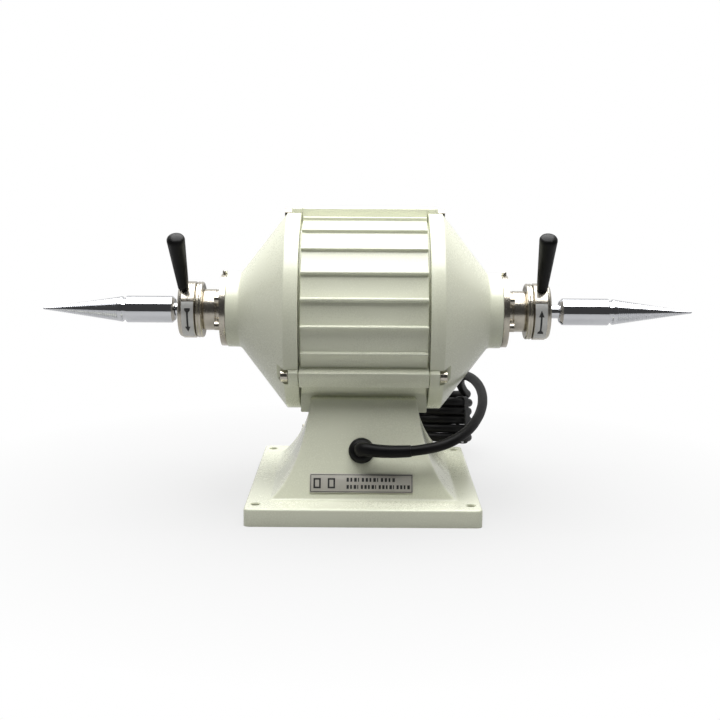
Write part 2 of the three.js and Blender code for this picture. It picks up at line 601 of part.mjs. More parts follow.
function makeCord(root) {
  const face = onPedestalFace(-1, GLAND.x, GLAND.z, root);
  const nut = new THREE.LatheGeometry([
    [0, -14], [GLAND.stem, -14], [GLAND.stem, GAP], [GLAND.radius, GAP], [GLAND.radius, GLAND.reach - 1.5],
    [GLAND.radius - 1.5, GLAND.reach], [0, GLAND.reach],
  ].map(([radius, z]) => new THREE.Vector2(radius, z)), 28).rotateX(Math.PI / 2);
  addPiece(face, "cord_gland", nut, blackPlastic);
  addPiece(root, "strain_relief", followLine(BOOT_LINE, 16, 6.2, CORD.radius + 0.5), blackRubber);
  addPiece(root, "power_cord", followLine(CORD_LINE, 40, CORD.radius), blackRubber);
  addPiece(root, "cord_tail", followLine(TAIL_LINE, 8, CORD.radius), blackRubber);

  const [inner, outer] = [COIL.meanRadius - COIL.halfWidth, COIL.meanRadius + COIL.halfWidth];
  const ring = [[inner, 0], [outer, 0], [outer, COIL.height], [inner, COIL.height], [inner, 0]];
  const coil = new THREE.LatheGeometry(ring.map(([radius, z]) => new THREE.Vector2(radius, z)), 36);
  const mesh = addPiece(root, "cord_coil", coil.rotateX(Math.PI / 2), blackRubber);
  mesh.rotation.x = -radians(COIL.tilt);
  mesh.position.set(COIL.x, COIL.y, COIL.z);

  const body = turned([
    [0, 0], [0, 12], [2, 12.8], [26, 12.8], [32, 8.5], [PLUG.bodyLength, 6], [PLUG.bodyLength, 0],
  ], ROUND.small);
  const pin = rod(-PLUG.pinLength, 5, 2.4, ROUND.screw);
  const plug = join(body, pin.translate([0, 9.5, 0]), pin.translate([0, -9.5, 0]));
  addPiece(root, "mains_plug", plug, blackPlastic).position.set(PLUG.x - PLUG.bodyLength, PLUG.y, PLUG.z);
}

// ---- the whole lathe ---------------------------------------------------------------------
const lathe = new THREE.Group();
makeBase(lathe);
makeLabel(lathe);
makeElectrics(lathe);
makeSwitch(lathe);
makeCord(lathe);

const motor = new THREE.Group();
motor.position.z = AXIS_HEIGHT;
lathe.add(motor);
makeHousing(motor);
makeStator(motor);
makeRotor(motor);
makeWasher(motor);
makeEnd(motor, "left");
makeEnd(motor, "right");

export default lathe;
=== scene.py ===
import math
import bmesh
import bpy
from mathutils import Matrix, Vector


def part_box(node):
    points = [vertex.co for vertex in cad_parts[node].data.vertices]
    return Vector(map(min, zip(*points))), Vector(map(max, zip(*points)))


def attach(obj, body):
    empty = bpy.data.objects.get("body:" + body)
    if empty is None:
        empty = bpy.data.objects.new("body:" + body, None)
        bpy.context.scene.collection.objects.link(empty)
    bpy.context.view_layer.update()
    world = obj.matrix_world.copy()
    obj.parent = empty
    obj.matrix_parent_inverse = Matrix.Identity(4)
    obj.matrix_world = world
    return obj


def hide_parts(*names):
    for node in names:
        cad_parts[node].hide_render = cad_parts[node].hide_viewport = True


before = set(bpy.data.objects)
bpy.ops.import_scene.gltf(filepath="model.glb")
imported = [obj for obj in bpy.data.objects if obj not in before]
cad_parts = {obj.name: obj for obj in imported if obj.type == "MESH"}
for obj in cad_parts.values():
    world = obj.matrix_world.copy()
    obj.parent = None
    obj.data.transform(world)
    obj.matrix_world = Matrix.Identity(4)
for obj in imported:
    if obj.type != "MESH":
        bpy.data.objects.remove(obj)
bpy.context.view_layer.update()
bpy.ops.object.select_all(action="DESELECT")
MM = 0.001  # lengths in this file are millimetres, and Blender's are metres

# ---- the room ------------------------------------------------------------------------------
# A white table under one big overhead soft box. The wall behind the lathe is white and the room
# in front of it is dim, so polished metal shows a bright top, a dark middle and a pale foot.
CAMERA_PLACE = (0, -1040.3, 281.0)
CAMERA_TILT = {"turn": 0.191, "up": 90 - 8.972, "roll": 0.354}  # degrees
LENS, SENSOR = 60.64, 36
TABLE_HALF = 1500
SOFT_BOX = {"height": 1150, "width": 1350, "depth": 1500, "watts": 36}

camera = bpy.data.objects.new("camera", bpy.data.cameras.new("camera"))
bpy.context.scene.collection.objects.link(camera)
camera.data.lens = LENS
camera.data.sensor_width = SENSOR
camera.matrix_world = (
    Matrix.Translation(Vector(CAMERA_PLACE) * MM)
    @ Matrix.Rotation(math.radians(CAMERA_TILT["turn"]), 4, "Z")
    @ Matrix.Rotation(math.radians(CAMERA_TILT["up"]), 4, "X")
    @ Matrix.Rotation(math.radians(CAMERA_TILT["roll"]), 4, "Z")
)
bpy.context.scene.camera = camera
bpy.context.scene.view_settings.view_transform = "Standard"


def add_node(tree, kind, **values):
    """A shader node with its settings and input values set by name, as Noise Scale is by Scale=."""
    made = tree.nodes.new("ShaderNode" + kind)
    for name, value in values.items():
        if hasattr(made, name):
            setattr(made, name, value)
        else:
            made.inputs[name.replace("_", " ")].default_value = value
    return made


bpy.ops.object.light_add(type="AREA", location=(0, 0.05, SOFT_BOX["height"] * MM))
soft_box = bpy.context.object
soft_box.data.shape = "RECTANGLE"
soft_box.data.size = SOFT_BOX["width"] * MM
soft_box.data.size_y = SOFT_BOX["depth"] * MM
soft_box.data.energy = SOFT_BOX["watts"]

world = bpy.data.worlds.new("room")
bpy.context.scene.world = world
world.use_nodes = True
tree = world.node_tree
link = tree.links.new
direction = add_node(tree, "TexCoord")
split = add_node(tree, "SeparateXYZ")
to_the_back = add_node(tree, "MapRange", From_Min=-0.25, From_Max=0.6, To_Min=0.05, To_Max=0.68)
seen = add_node(tree, "LightPath")
white_behind = add_node(tree, "Mix", B=1.0)
background = tree.nodes["Background"]
link(direction.outputs["Generated"], split.inputs["Vector"])
link(split.outputs["Y"], to_the_back.inputs["Value"])
link(to_the_back.outputs["Result"], white_behind.inputs["A"])
link(seen.outputs["Is Camera Ray"], white_behind.inputs["Factor"])
link(white_behind.outputs["Result"], background.inputs["Color"])

bpy.ops.mesh.primitive_plane_add(size=2 * TABLE_HALF * MM, location=(0, 0.8, 0))
table = bpy.context.object
table.name = "table"
bpy.ops.object.transform_apply(location=True, rotation=True, scale=True)
table_white = bpy.data.materials.new("table_white")
table_white.use_nodes = True
tree = table_white.node_tree
link = tree.links.new
surface = tree.nodes["Principled BSDF"]
surface.inputs["Base Color"].default_value = (0.30, 0.30, 0.30, 1)
surface.inputs["Roughness"].default_value = 0.9
# The table glows white for the camera over a dim grey diffuse surface.
glow = add_node(tree, "Emission", Color=(1, 1, 1, 1), Strength=1.0)
seen = add_node(tree, "LightPath")
spot = add_node(tree, "TexCoord")
distance = add_node(tree, "VectorMath", operation="LENGTH")
# Less glow near the lathe: a painted grey shade round its base, with the real shadows showing in it.
fading = add_node(tree, "MapRange", From_Min=0.12, From_Max=0.42, To_Min=0.72, To_Max=1.0)
share = add_node(tree, "Math", operation="MULTIPLY")
blend = add_node(tree, "MixShader")
link(spot.outputs["Object"], distance.inputs[0])
link(distance.outputs["Value"], fading.inputs["Value"])
link(fading.outputs["Result"], share.inputs[1])
link(seen.outputs["Is Camera Ray"], share.inputs[0])
link(share.outputs["Value"], blend.inputs["Fac"])
link(surface.outputs["BSDF"], blend.inputs[1])
link(glow.outputs["Emission"], blend.inputs[2])
link(blend.outputs["Shader"], tree.nodes["Material Output"].inputs["Surface"])
table.data.materials.append(table_white)


# ---- the mains lead ------------------------------------------------------------------------
# A round rubber-sheathed lead. It leaves the boot on the pedestal's face, passes round the side
# of the base and lies down on a coil of five turns, which leans on the plate's rear edge.
CORD_DIAMETER = 8.5
CORD_LINE = [
    (36.6, -88.04, 56.62), (44, -88.6, 57.6), (52, -88.4, 58.9), (61, -86.5, 60.6),
    (70.5, -81.5, 63), (79.5, -72.5, 66), (88, -59, 69.6), (95, -41, 73.4), (100.5, -20, 77.2),
    (104, 3, 81), (105, 26, 85), (103.2, 48, 88.4), (99, 70, 90), (94.8, 90, 88.2),
    (93, 108, 82.6), (94, 124, 75), (97, 139, 67.6), (100.6, 153, 61.2),
]
TAIL_LINE = [
    (54, 198, 4.8), (46, 198.6, 4.8), (36, 200.5, 4.6), (25, 201.5, 5.2), (14, 201, 7.5),
    (4, 199.8, 10.5), (-3.8, 199, 12.6),
]
COIL = {"centre": (62, 150, 8.56), "tilt": 9.98, "radius": 42.5, "last_radius": 46.5}
COIL_TURN = {"first": 10, "last": 5 * 360 + 90, "step": 15}  # degrees round the coil
COIL_RISE = {"first": 49.6, "last": 4.4}


def coil_point(angle, radius, rise):
    """A point of the tilted coil, by its angle in degrees, its radius and its height in it."""
    tilt = math.radians(COIL["tilt"])
    outward = Vector((0, math.cos(tilt), -math.sin(tilt)))
    upward = Vector((0, math.sin(tilt), math.cos(tilt)))
    turn = math.radians(angle)
    across = Vector((math.cos(turn), 0, 0)) + math.sin(turn) * outward
    return Vector(COIL["centre"]) + radius * across + rise * upward


def coil_line():
    """The turns of the coil from the top one down, opening out into the tail at the end."""
    points = []
    whole = COIL_TURN["last"] - COIL_TURN["first"]
    for angle in range(COIL_TURN["first"], COIL_TURN["last"] + 1, COIL_TURN["step"]):
        share = (angle - COIL_TURN["first"]) / whole
        opening = max(0, (angle - COIL_TURN["last"] + 90) / 90)
        radius = COIL["radius"] + opening * (COIL["last_radius"] - COIL["radius"])
        radius += 0.5 * (1 - opening) * math.sin(math.radians(angle * 1.31))
        rise = COIL_RISE["first"] + share * (COIL_RISE["last"] - COIL_RISE["first"])
        points.append(coil_point(angle, radius, rise))
    return points


def swept(name, points, radius, end_radius=None):
    """A round rod along a smooth line of points, its radius changing evenly to its end."""
    curve = bpy.data.curves.new(name, "CURVE")
    curve.dimensions = "3D"
    curve.bevel_depth = radius * MM
    curve.bevel_resolution = 8
    curve.resolution_u = 6
    curve.use_fill_caps = True
    spline = curve.splines.new("BEZIER")
    spline.bezier_points.add(len(points) - 1)
    last = len(points) - 1
    for index, (knot, point) in enumerate(zip(spline.bezier_points, points)):
        knot.co = Vector(point) * MM
        knot.handle_left_type = knot.handle_right_type = "AUTO"
        knot.radius = 1 + ((end_radius or radius) / radius - 1) * index / last
    rod = bpy.data.objects.new(name, curve)
    bpy.context.scene.collection.objects.link(rod)
    return rod


def new_group(name, inputs, outputs):
    """An empty node group with the named inputs and outputs."""
    group = bpy.data.node_groups.new(name, "ShaderNodeTree")
    for label, kind, value in inputs:
        made = group.interface.new_socket(
            name=label, in_out="INPUT", socket_type="NodeSocket" + kind)
        if value is not None:
            made.default_value = value
    for label, kind in outputs:
        group.interface.new_socket(name=label, in_out="OUTPUT", socket_type="NodeSocket" + kind)
    return group, group.nodes.new("NodeGroupInput"), group.nodes.new("NodeGroupOutput")


def make_mottle():
    """Broad patches of a second colour, and a fine grain in the gloss and the surface."""
    group, given, result = new_group(
        "mottle",
        [
            ("Colour", "Color", (0.5, 0.5, 0.5, 1)), ("Patch Colour", "Color", (0.5, 0.5, 0.5, 1)),
            ("Patch Scale", "Float", 20), ("Grain Scale", "Float", 900),
            ("Smoothest", "Float", 0.3), ("Roughest", "Float", 0.5),
            ("Grain Height", "Float", 0.00002),
        ],
        [("Colour", "Color"), ("Roughness", "Float"), ("Normal", "Vector")],
    )
    place = add_node(group, "TexCoord")
    patches = add_node(group, "TexNoise", Detail=4.0, Roughness=0.55)
    grain = add_node(group, "TexNoise", Detail=3.0, Roughness=0.5)
    contrast = add_node(group, "MapRange", From_Min=0.36, From_Max=0.64)
    colour = add_node(group, "Mix", data_type="RGBA")
    both = add_node(group, "Mix", Factor=0.45)
    gloss = add_node(group, "MapRange", From_Min=0.3, From_Max=0.7)
    bump = add_node(group, "Bump", Strength=1.0)
    link = group.links.new
    link(place.outputs["Object"], patches.inputs["Vector"])
    link(place.outputs["Object"], grain.inputs["Vector"])
    link(given.outputs["Patch Scale"], patches.inputs["Scale"])
    link(given.outputs["Grain Scale"], grain.inputs["Scale"])
    link(patches.outputs["Fac"], contrast.inputs["Value"])
    link(contrast.outputs["Result"], colour.inputs["Factor"])
    link(given.outputs["Colour"], colour.inputs["A"])
    link(given.outputs["Patch Colour"], colour.inputs["B"])
    link(patches.outputs["Fac"], both.inputs["A"])
    link(grain.outputs["Fac"], both.inputs["B"])
    link(both.outputs["Result"], gloss.inputs["Value"])
    link(given.outputs["Smoothest"], gloss.inputs["To Min"])
    link(given.outputs["Roughest"], gloss.inputs["To Max"])
    link(grain.outputs["Fac"], bump.inputs["Height"])
    link(given.outputs["Grain Height"], bump.inputs["Distance"])
    link(colour.outputs["Result"], result.inputs["Colour"])
    link(gloss.outputs["Result"], result.inputs["Roughness"])
    link(bump.outputs["Normal"], result.inputs["Normal"])
    return group


MOTTLE = make_mottle()


def finish(name, colour, patch_colour, patch_scale, grain, rough, metallic=0.0, **shader_values):
    """A material whose colour, gloss and grain vary over the piece; grain is (scale, height mm)."""
    material = bpy.data.materials.new(name)
    material.use_nodes = True
    tree = material.node_tree
    shader = tree.nodes["Principled BSDF"]
    shader.inputs["Metallic"].default_value = metallic
    for label, value in shader_values.items():
        shader.inputs[label.replace("_", " ")].default_value = value
    mottle = add_node(
        tree, "Group", name="mottle", node_tree=MOTTLE, Colour=(*colour, 1),
        Patch_Colour=(*patch_colour, 1), Patch_Scale=patch_scale, Grain_Scale=grain[0],
        Grain_Height=grain[1] * MM, Smoothest=rough[0], Roughest=rough[1])
    tree.links.new(mottle.outputs["Colour"], shader.inputs["Base Color"])
    tree.links.new(mottle.outputs["Roughness"], shader.inputs["Roughness"])
    tree.links.new(mottle.outputs["Normal"], shader.inputs["Normal"])
    return material


def fit(piece, material, body, slot, *nodes):
    """Gives a finished piece its material, and puts it on the body whose CAD nodes it stands for."""
    piece.data.materials.clear()
    piece.data.materials.append(material)
    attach(piece, body)
    if nodes:
        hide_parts(*nodes)


cord_rubber = finish(
    "cord_rubber", (0.004, 0.004, 0.0042), (0.008, 0.0075, 0.0075), 45, (700, 0.03), (0.36, 0.52), 0.0,
    Specular_IOR_Level=0.12)

lead = swept("mains_lead", CORD_LINE + coil_line() + TAIL_LINE, CORD_DIAMETER / 2)
fit(lead, cord_rubber, "frame", "black_rubber", "power_cord", "cord_coil", "cord_tail")


# ---- the coil's tie ------------------------------------------------------------------------
# A flat strap of black webbing round the coil's turns, closed on itself with an overlapping end.
# Sewn from woven nylon, it only holds the turns together.
TIE = {"angle": -35, "width": 9, "inner": 37.4, "outer": 47.6, "low": 2.4, "high": 47.2}
WEBBING = 0.9  # the strap's thickness


def activate(piece):
    """Makes a piece the only one selected."""
    bpy.ops.object.select_all(action="DESELECT")
    piece.select_set(True)
    bpy.context.view_layer.objects.active = piece


def modify(piece, kind, **settings):
    """Adds a modifier with its settings, and applies it."""
    activate(piece)
    bpy.ops.object.modifier_add(type=kind)
    modifier = piece.modifiers[-1]
    for name, value in settings.items():
        setattr(modifier, name, value)
    bpy.ops.object.modifier_apply(modifier=modifier.name)


def place(piece, matrix):
    """Moves a piece's mesh by a matrix, and leaves its object at the origin, unturned."""
    activate(piece)
    piece.matrix_world = matrix
    bpy.ops.object.transform_apply(location=True, rotation=True, scale=True)


def shifted(x, y, z):
    """The matrix that moves a piece by a distance in millimetres."""
    return Matrix.Translation(Vector((x, y, z)) * MM)


def soften(piece, width, segments=3, angle=30):
    """Rounds the sharp edges as casting, machining or moulding leaves them, and shades smoothly."""
    modify(
        piece, "BEVEL", width=width * MM, segments=segments, limit_method="ANGLE",
        angle_limit=math.radians(angle))
    shade(piece)


def shade(piece, angle=38):
    """Shades smoothly across edges that turn less than an angle."""
    activate(piece)
    bpy.ops.object.shade_smooth_by_angle(angle=math.radians(angle))


def combine(piece, tool, operation="DIFFERENCE"):
    """Cuts a piece with a tool, or joins the tool to it, and clears the tool away."""
    modify(piece, "BOOLEAN", object=tool, operation=operation, solver="EXACT")
    bpy.data.objects.remove(tool)


def edit_whole(piece):
    """Opens a piece in edit mode with the whole of its mesh selected."""
    activate(piece)
    bpy.ops.object.mode_set(mode="EDIT")
    bpy.ops.mesh.select_all(action="SELECT")


def face_outwards():
    """Turns the faces of the piece in edit mode outwards, and leaves edit mode."""
    bpy.ops.mesh.select_all(action="SELECT")
    bpy.ops.mesh.normals_make_consistent(inside=False)
    bpy.ops.object.mode_set(mode="OBJECT")


def weld(piece):
    """Merges the doubled points and closes the slivers that a cut or a conversion leaves."""
    edit_whole(piece)
    bpy.ops.mesh.remove_doubles(threshold=0.00001)
    bpy.ops.mesh.dissolve_degenerate(threshold=0.00001)
    bpy.ops.mesh.select_all(action="SELECT")
    bpy.ops.mesh.fill_holes(sides=4)
    bpy.ops.object.mode_set(mode="OBJECT")


def block(name, low, high):
    """A block between two corners, to be shaped further."""
    low, high = Vector(low) * MM, Vector(high) * MM
    bpy.ops.object.select_all(action="DESELECT")
    bpy.ops.mesh.primitive_cube_add(size=1, location=(low + high) / 2, scale=high - low)
    bpy.context.object.name = name
    bpy.ops.object.transform_apply(location=True, rotation=True, scale=True)
    return bpy.context.object


def slab(name, half_x, half_y, low, high):
    """A block centred on the Z axis, between two heights."""
    return block(name, (-half_x, -half_y, low), (half_x, half_y, high))


def joined(name, parts):
    """Several parts as one piece."""
    activate(parts[0])
    for part in parts:
        part.select_set(True)
    bpy.ops.object.join()
    parts[0].name = name
    return parts[0]


def copy_of(piece, name):
    """A copy of a finished piece with a mesh of its own."""
    copy = piece.copy()
    copy.data = piece.data.copy()
    copy.name = name
    bpy.context.scene.collection.objects.link(copy)
    return copy


half = TIE["width"] / 2
strap = block(
    "coil_tie", (TIE["inner"] - WEBBING, -half, TIE["low"] - WEBBING),
    (TIE["outer"] + WEBBING, half, TIE["high"] + WEBBING))
soften(strap, 3.2, 5)
hole = block("strap_hole", (TIE["inner"], -half - 1, TIE["low"]), (TIE["outer"], half + 1, TIE["high"]))
soften(hole, 2.6, 5)
combine(strap, hole)
overlap = block("strap_end", (TIE["outer"] + 0.5, -half + 0.3, 12), (TIE["outer"] + 1.7, half - 0.3, 34))
soften(overlap, 0.4)
combine(strap, overlap, "UNION")
soften(strap, 0.25, 2)
tilted = (
    Matrix.Rotation(-math.radians(COIL["tilt"]), 4, "X")
    @ Matrix.Rotation(math.radians(TIE["angle"]), 4, "Z"))
place(strap, shifted(*COIL["centre"]) @ tilted)
webbing = finish("black_webbing", (0.02, 0.02, 0.022), (0.035, 0.034, 0.034), 300, (1500, 0.12), (0.75, 0.95))
fit(strap, webbing, "frame", "black_rubber")


# ---- the plug ------------------------------------------------------------------------------
# A moulded black round plug with two part-sleeved pins, a flat front rim and finger ribs at its
# neck. It is moulded on the lead's end and lies beside the coil.
PLUG = {"back": -45.4, "y": 198.7, "z": 13.2}
PIN = {"radius": 2.4, "core": 2.2, "length": 19, "apart": 9.5, "sleeve": 9}


def drawn_line(name, points):
    """A vertex drawn along a line of points, left in edit mode with all of it selected."""
    bpy.ops.object.select_all(action="DESELECT")
    bpy.ops.mesh.primitive_plane_add(size=0.001, location=(0, 0, 0))
    piece = bpy.context.object
    piece.name = name
    bpy.ops.object.mode_set(mode="EDIT")
    bpy.ops.mesh.merge(type="CENTER")
    bpy.ops.transform.translate(value=points[0])
    for here, there in zip(points, points[1:]):
        bpy.ops.mesh.extrude_region_move(TRANSFORM_OT_translate={"value": there - here})
    bpy.ops.mesh.select_all(action="SELECT")
    return piece


def turned(name, outline, steps=96):
    """A piece turned about X: one vertex is drawn along the outline of (x, radius), then spun."""
    piece = drawn_line(name, [Vector((x, 0, radius)) * MM for x, radius in outline])
    bpy.ops.mesh.spin(steps=steps, angle=2 * math.pi, center=(0, 0, 0), axis=(1, 0, 0))
    bpy.ops.mesh.select_all(action="SELECT")
    bpy.ops.mesh.remove_doubles(threshold=0.000005)
    face_outwards()
    return piece


UPRIGHT = Matrix.Rotation(-math.pi / 2, 4, "Y")  # stands a piece turned about X along Z


def drill(piece, centre, direction, radius, depth, vertices=32):
    """Cuts a round hole, or a hexagon one, through a place along a direction."""
    turn = Vector(direction).to_track_quat("Z", "Y").to_euler()
    bpy.ops.object.select_all(action="DESELECT")
    bpy.ops.mesh.primitive_cylinder_add(
        vertices=vertices, radius=radius * MM, depth=depth * MM, location=Vector(centre) * MM, rotation=turn)
    combine(piece, bpy.context.object)


plug = turned("plug_body", [
    (0, 0), (0, 11.2), (1.2, 12.8), (13, 12.8), (13.6, 12.2), (15.2, 12.2), (15.8, 12.8), (22, 12.8),
    (27, 11.2), (30.5, 8.6), (31, 7.4), (32.2, 7.4), (32.6, 8.2), (34, 7.9), (34.4, 6.8), (35.6, 6.8),
    (36, 7.4), (37.4, 7.1), (37.8, 6.2), (39, 6), (40, 5.6), (40, 0)], 64)
for side in (-1, 1):
    flat = block("finger_flat", (14, side * 15.6 - 4, -20), (40, side * 15.6 + 4, 20))
    combine(plug, flat)
soften(plug, 0.35, 2, 25)
place(plug, shifted(PLUG["back"], PLUG["y"], PLUG["z"]))
moulded_black = finish(
    "moulded_black", (0.005, 0.0052, 0.005), (0.009, 0.009, 0.0088), 60, (1100, 0.03), (0.3, 0.44), 0.0,
    Specular_IOR_Level=0.16)
fit(plug, moulded_black, "frame", "black_plastic", "mains_plug")

pin_nickel = finish(
    "pin_nickel", (0.72, 0.68, 0.58), (0.66, 0.62, 0.52), 90, (1500, 0.01), (0.2, 0.34), 1.0)
for number, side in enumerate((-1, 1), 1):
    pin = turned(f"plug_pin_{number}", [
        (-PIN["length"], 0), (-PIN["length"], 1.3), (-PIN["length"] + 1.2, PIN["core"]),
        (-PIN["sleeve"], PIN["core"]), (1, PIN["core"]), (1, 0)], 32)
    soften(pin, 0.3, 3, 20)
    at = shifted(PLUG["back"], PLUG["y"] + side * PIN["apart"], PLUG["z"])
    place(pin, at)
    fit(pin, pin_nickel, "frame", "nickel_plate")
    sleeve = turned(f"plug_pin_sleeve_{number}", [
        (-PIN["sleeve"], 2.21), (-PIN["sleeve"], PIN["radius"]), (0.5, PIN["radius"]), (0.5, 2.21),
        (-PIN["sleeve"], 2.21)], 32)
    shade(sleeve)
    place(sleeve, at)
    fit(sleeve, moulded_black, "frame", "black_plastic")


# ---- the boot and gland --------------------------------------------------------------------
# The lead enters the pedestal through a domed screw-in gland of black nylon. A moulded rubber
# elbow boot, tapered to the lead, turns it along the leaning face.
BOOT_LINE = [
    (-1.5, -78.3, 55.2), (-1.5, -80.6, 56.1), (-0.3, -83.6, 57), (3.6, -85.8, 57.2),
    (9, -86.6, 56.6), (20, -87, 56), (36, -88, 56.6), (38.4, -88.25, 56.9),
]
GLAND = {"x": -1.5, "z": 53}
FACE = {"foot": 87, "top": 57, "low": 14.7, "high": 93.7}  # the pedestal's leaning front and back
FACE_LEAN = math.atan2(FACE["foot"] - FACE["top"], FACE["high"] - FACE["low"])


def face_depth(z):
    """How far a leaning face stands from the middle at a height."""
    return FACE["foot"] - (z - FACE["low"]) * math.tan(FACE_LEAN)


def on_face(side, x, z):
    """The matrix that lays a piece on the pedestal's front (-1) or back (+1) face, +Z outwards."""
    return shifted(x, side * face_depth(z), z) @ Matrix.Rotation(-side * (math.pi / 2 - FACE_LEAN), 4, "X")


boot = swept("elbow_boot", BOOT_LINE, 6.2, 4.75)
activate(boot)
bpy.ops.object.convert(target="MESH")
boot = bpy.context.object
weld(boot)
shade(boot, 50)
fit(boot, cord_rubber, "frame", "black_rubber", "strain_relief")

nut = turned("gland_nut", [
    (-14, 0), (-14, 7.4), (0.3, 7.4), (0.3, 10.6), (2.2, 10.6), (3.6, 9.6), (4.8, 8.2), (5.4, 6.8),
    (5.4, 0)], 72)
soften(nut, 0.5, 3, 24)
place(nut, on_face(-1, GLAND["x"], GLAND["z"]) @ UPRIGHT)
fit(nut, moulded_black, "frame", "black_plastic", "cord_gland")


# ---- the base casting ----------------------------------------------------------------------
# One iron casting: a thick square plate and a hollow pedestal that flares down into it. It is
# fettled, filled and sprayed in a pale ivory-green enamel; four corner holes take bench screws.
PLATE = {"half_width": 95, "half_depth": 112, "thick": 14.7, "corner": 5}
NECK_STEPS = 22
HALF_WIDTHS = (76.5, 55, 47.5, 44)  # the flare's four control points, from the foot to the top
FLARE_HEIGHTS = (14.7, 33, 62, 93.7)
HOLES = {"bench": 3.35, "bench_seat": 4.3, "gland": 7.9, "switch": 9.3, "wires": 9}  # radii
BENCH_HOLES = [(x, y) for x in (-86.4, 86.4) for y in (-98, 98)]
SWITCH_Z = 56


def bezier(values, t):
    """The value at a share t of a cubic curve with four control values."""
    a, b, c, d = values
    u = 1 - t
    return a * u**3 + 3 * b * u * u * t + 3 * c * u * t * t + d * t**3


def pedestal_levels(inset, top):
    """The pedestal's (half width, half depth, height) from its foot up to a height."""
    levels = []
    for step in range(NECK_STEPS + 1):
        height = bezier(FLARE_HEIGHTS, step / NECK_STEPS)
        half_width = bezier(HALF_WIDTHS, step / NECK_STEPS)
        if height <= top:
            levels.append((half_width - inset, face_depth(height) - inset, height))
    return levels


def drawn_up(name, levels):
    """A solid drawn up level by level: its top face is extruded and resized at each one."""
    wide, deep, low = levels[0]
    bpy.ops.object.select_all(action="DESELECT")
    bpy.ops.mesh.primitive_plane_add(size=2 * MM, location=(0, 0, low * MM))
    piece = bpy.context.object
    piece.name = name
    bpy.ops.object.transform_apply(location=True, rotation=True, scale=True)
    bpy.ops.object.mode_set(mode="EDIT")
    bpy.ops.transform.resize(value=(wide, deep, 1), center_override=(0, 0, low * MM))
    for (w0, d0, z0), (w1, d1, z1) in zip(levels, levels[1:]):
        bpy.ops.mesh.extrude_region_move(TRANSFORM_OT_translate={"value": (0, 0, (z1 - z0) * MM)})
        bpy.ops.transform.resize(value=(w1 / w0, d1 / d0, 1), center_override=(0, 0, z1 * MM))
    face_outwards()
    return piece


def bevel_along(piece, axis, offset, segments, test=lambda x, y, z: True):
    """Bevels the edges that run along an axis (0, 1 or 2) and whose ends pass a test of their place."""
    activate(piece)
    bpy.ops.object.mode_set(mode="EDIT")
    bpy.ops.mesh.select_all(action="DESELECT")
    bpy.ops.mesh.select_mode(type="EDGE")
    mesh = bmesh.from_edit_mesh(piece.data)
    for edge in mesh.edges:
        run = (edge.verts[0].co - edge.verts[1].co).normalized()
        along = abs(run[axis]) > 0.999
        edge.select_set(along and all(test(*(vertex.co / MM)) for vertex in edge.verts))
    bmesh.update_edit_mesh(piece.data)
    bpy.ops.mesh.bevel(offset=offset * MM, segments=segments, affect="EDGES")
    bpy.ops.mesh.select_mode(type="VERT")
    bpy.ops.object.mode_set(mode="OBJECT")


plate = (PLATE["half_width"], PLATE["half_depth"])
casting = drawn_up("base_iron", [(*plate, -6), (*plate, PLATE["thick"])] + pedestal_levels(0, 94))
bevel_along(casting, 2, PLATE["corner"], 8)
soften(casting, 1.9, 4, 25)
edit_whole(casting)
bpy.ops.mesh.bisect(plane_co=(0, 0, 0), plane_no=(0, 0, 1), use_fill=True, clear_inner=True)
bpy.ops.object.mode_set(mode="OBJECT")
inside = pedestal_levels(6, 72)
combine(casting, drawn_up("hollow", [(inside[0][0], inside[0][1], -1)] + inside))
combine(casting, slab("cover_recess", 80.8, 94.8, -1, 2.6))
combine(casting, slab("foot_pocket", 60, 50, 80, 120))
for x, y in BENCH_HOLES:
    drill(casting, (x, y, 8), (0, 0, 1), HOLES["bench"], 40)
    drill(casting, (x, y, PLATE["thick"] + 4), (0, 0, 1), HOLES["bench_seat"], 9)
gland_mouth = (GLAND["x"], -face_depth(GLAND["z"]), GLAND["z"])
switch_mouth = (0, face_depth(SWITCH_Z), SWITCH_Z)
drill(casting, gland_mouth, (0, -math.cos(FACE_LEAN), math.sin(FACE_LEAN)), HOLES["gland"], 30)
drill(casting, switch_mouth, (0, math.cos(FACE_LEAN), math.sin(FACE_LEAN)), HOLES["switch"], 30)
drill(casting, (0, 0, 76), (0, 0, 1), HOLES["wires"], 30)
shade(casting, 30)
ivory_enamel = finish(
    "ivory_enamel", (0.735, 0.75, 0.605), (0.71, 0.725, 0.58), 14, (850, 0.008), (0.2, 0.34), 0.0,
    Coat_Weight=0.25, Coat_Roughness=0.12)
fit(casting, ivory_enamel, "frame", "ivory_iron", "base_casting")


# ---- the bottom cover ----------------------------------------------------------------------
# A folded-flat sheet of zinc-plated steel that closes the underside of the base. It sits in a
# recess of the casting and is held by six countersunk screws.
COVER = {"half_width": 80.5, "half_depth": 94.5, "low": 0.3, "high": 2.2}
COVER_SCREWS = [(x, y) for x in (-72, 72) for y in (-84, 0, 84)]

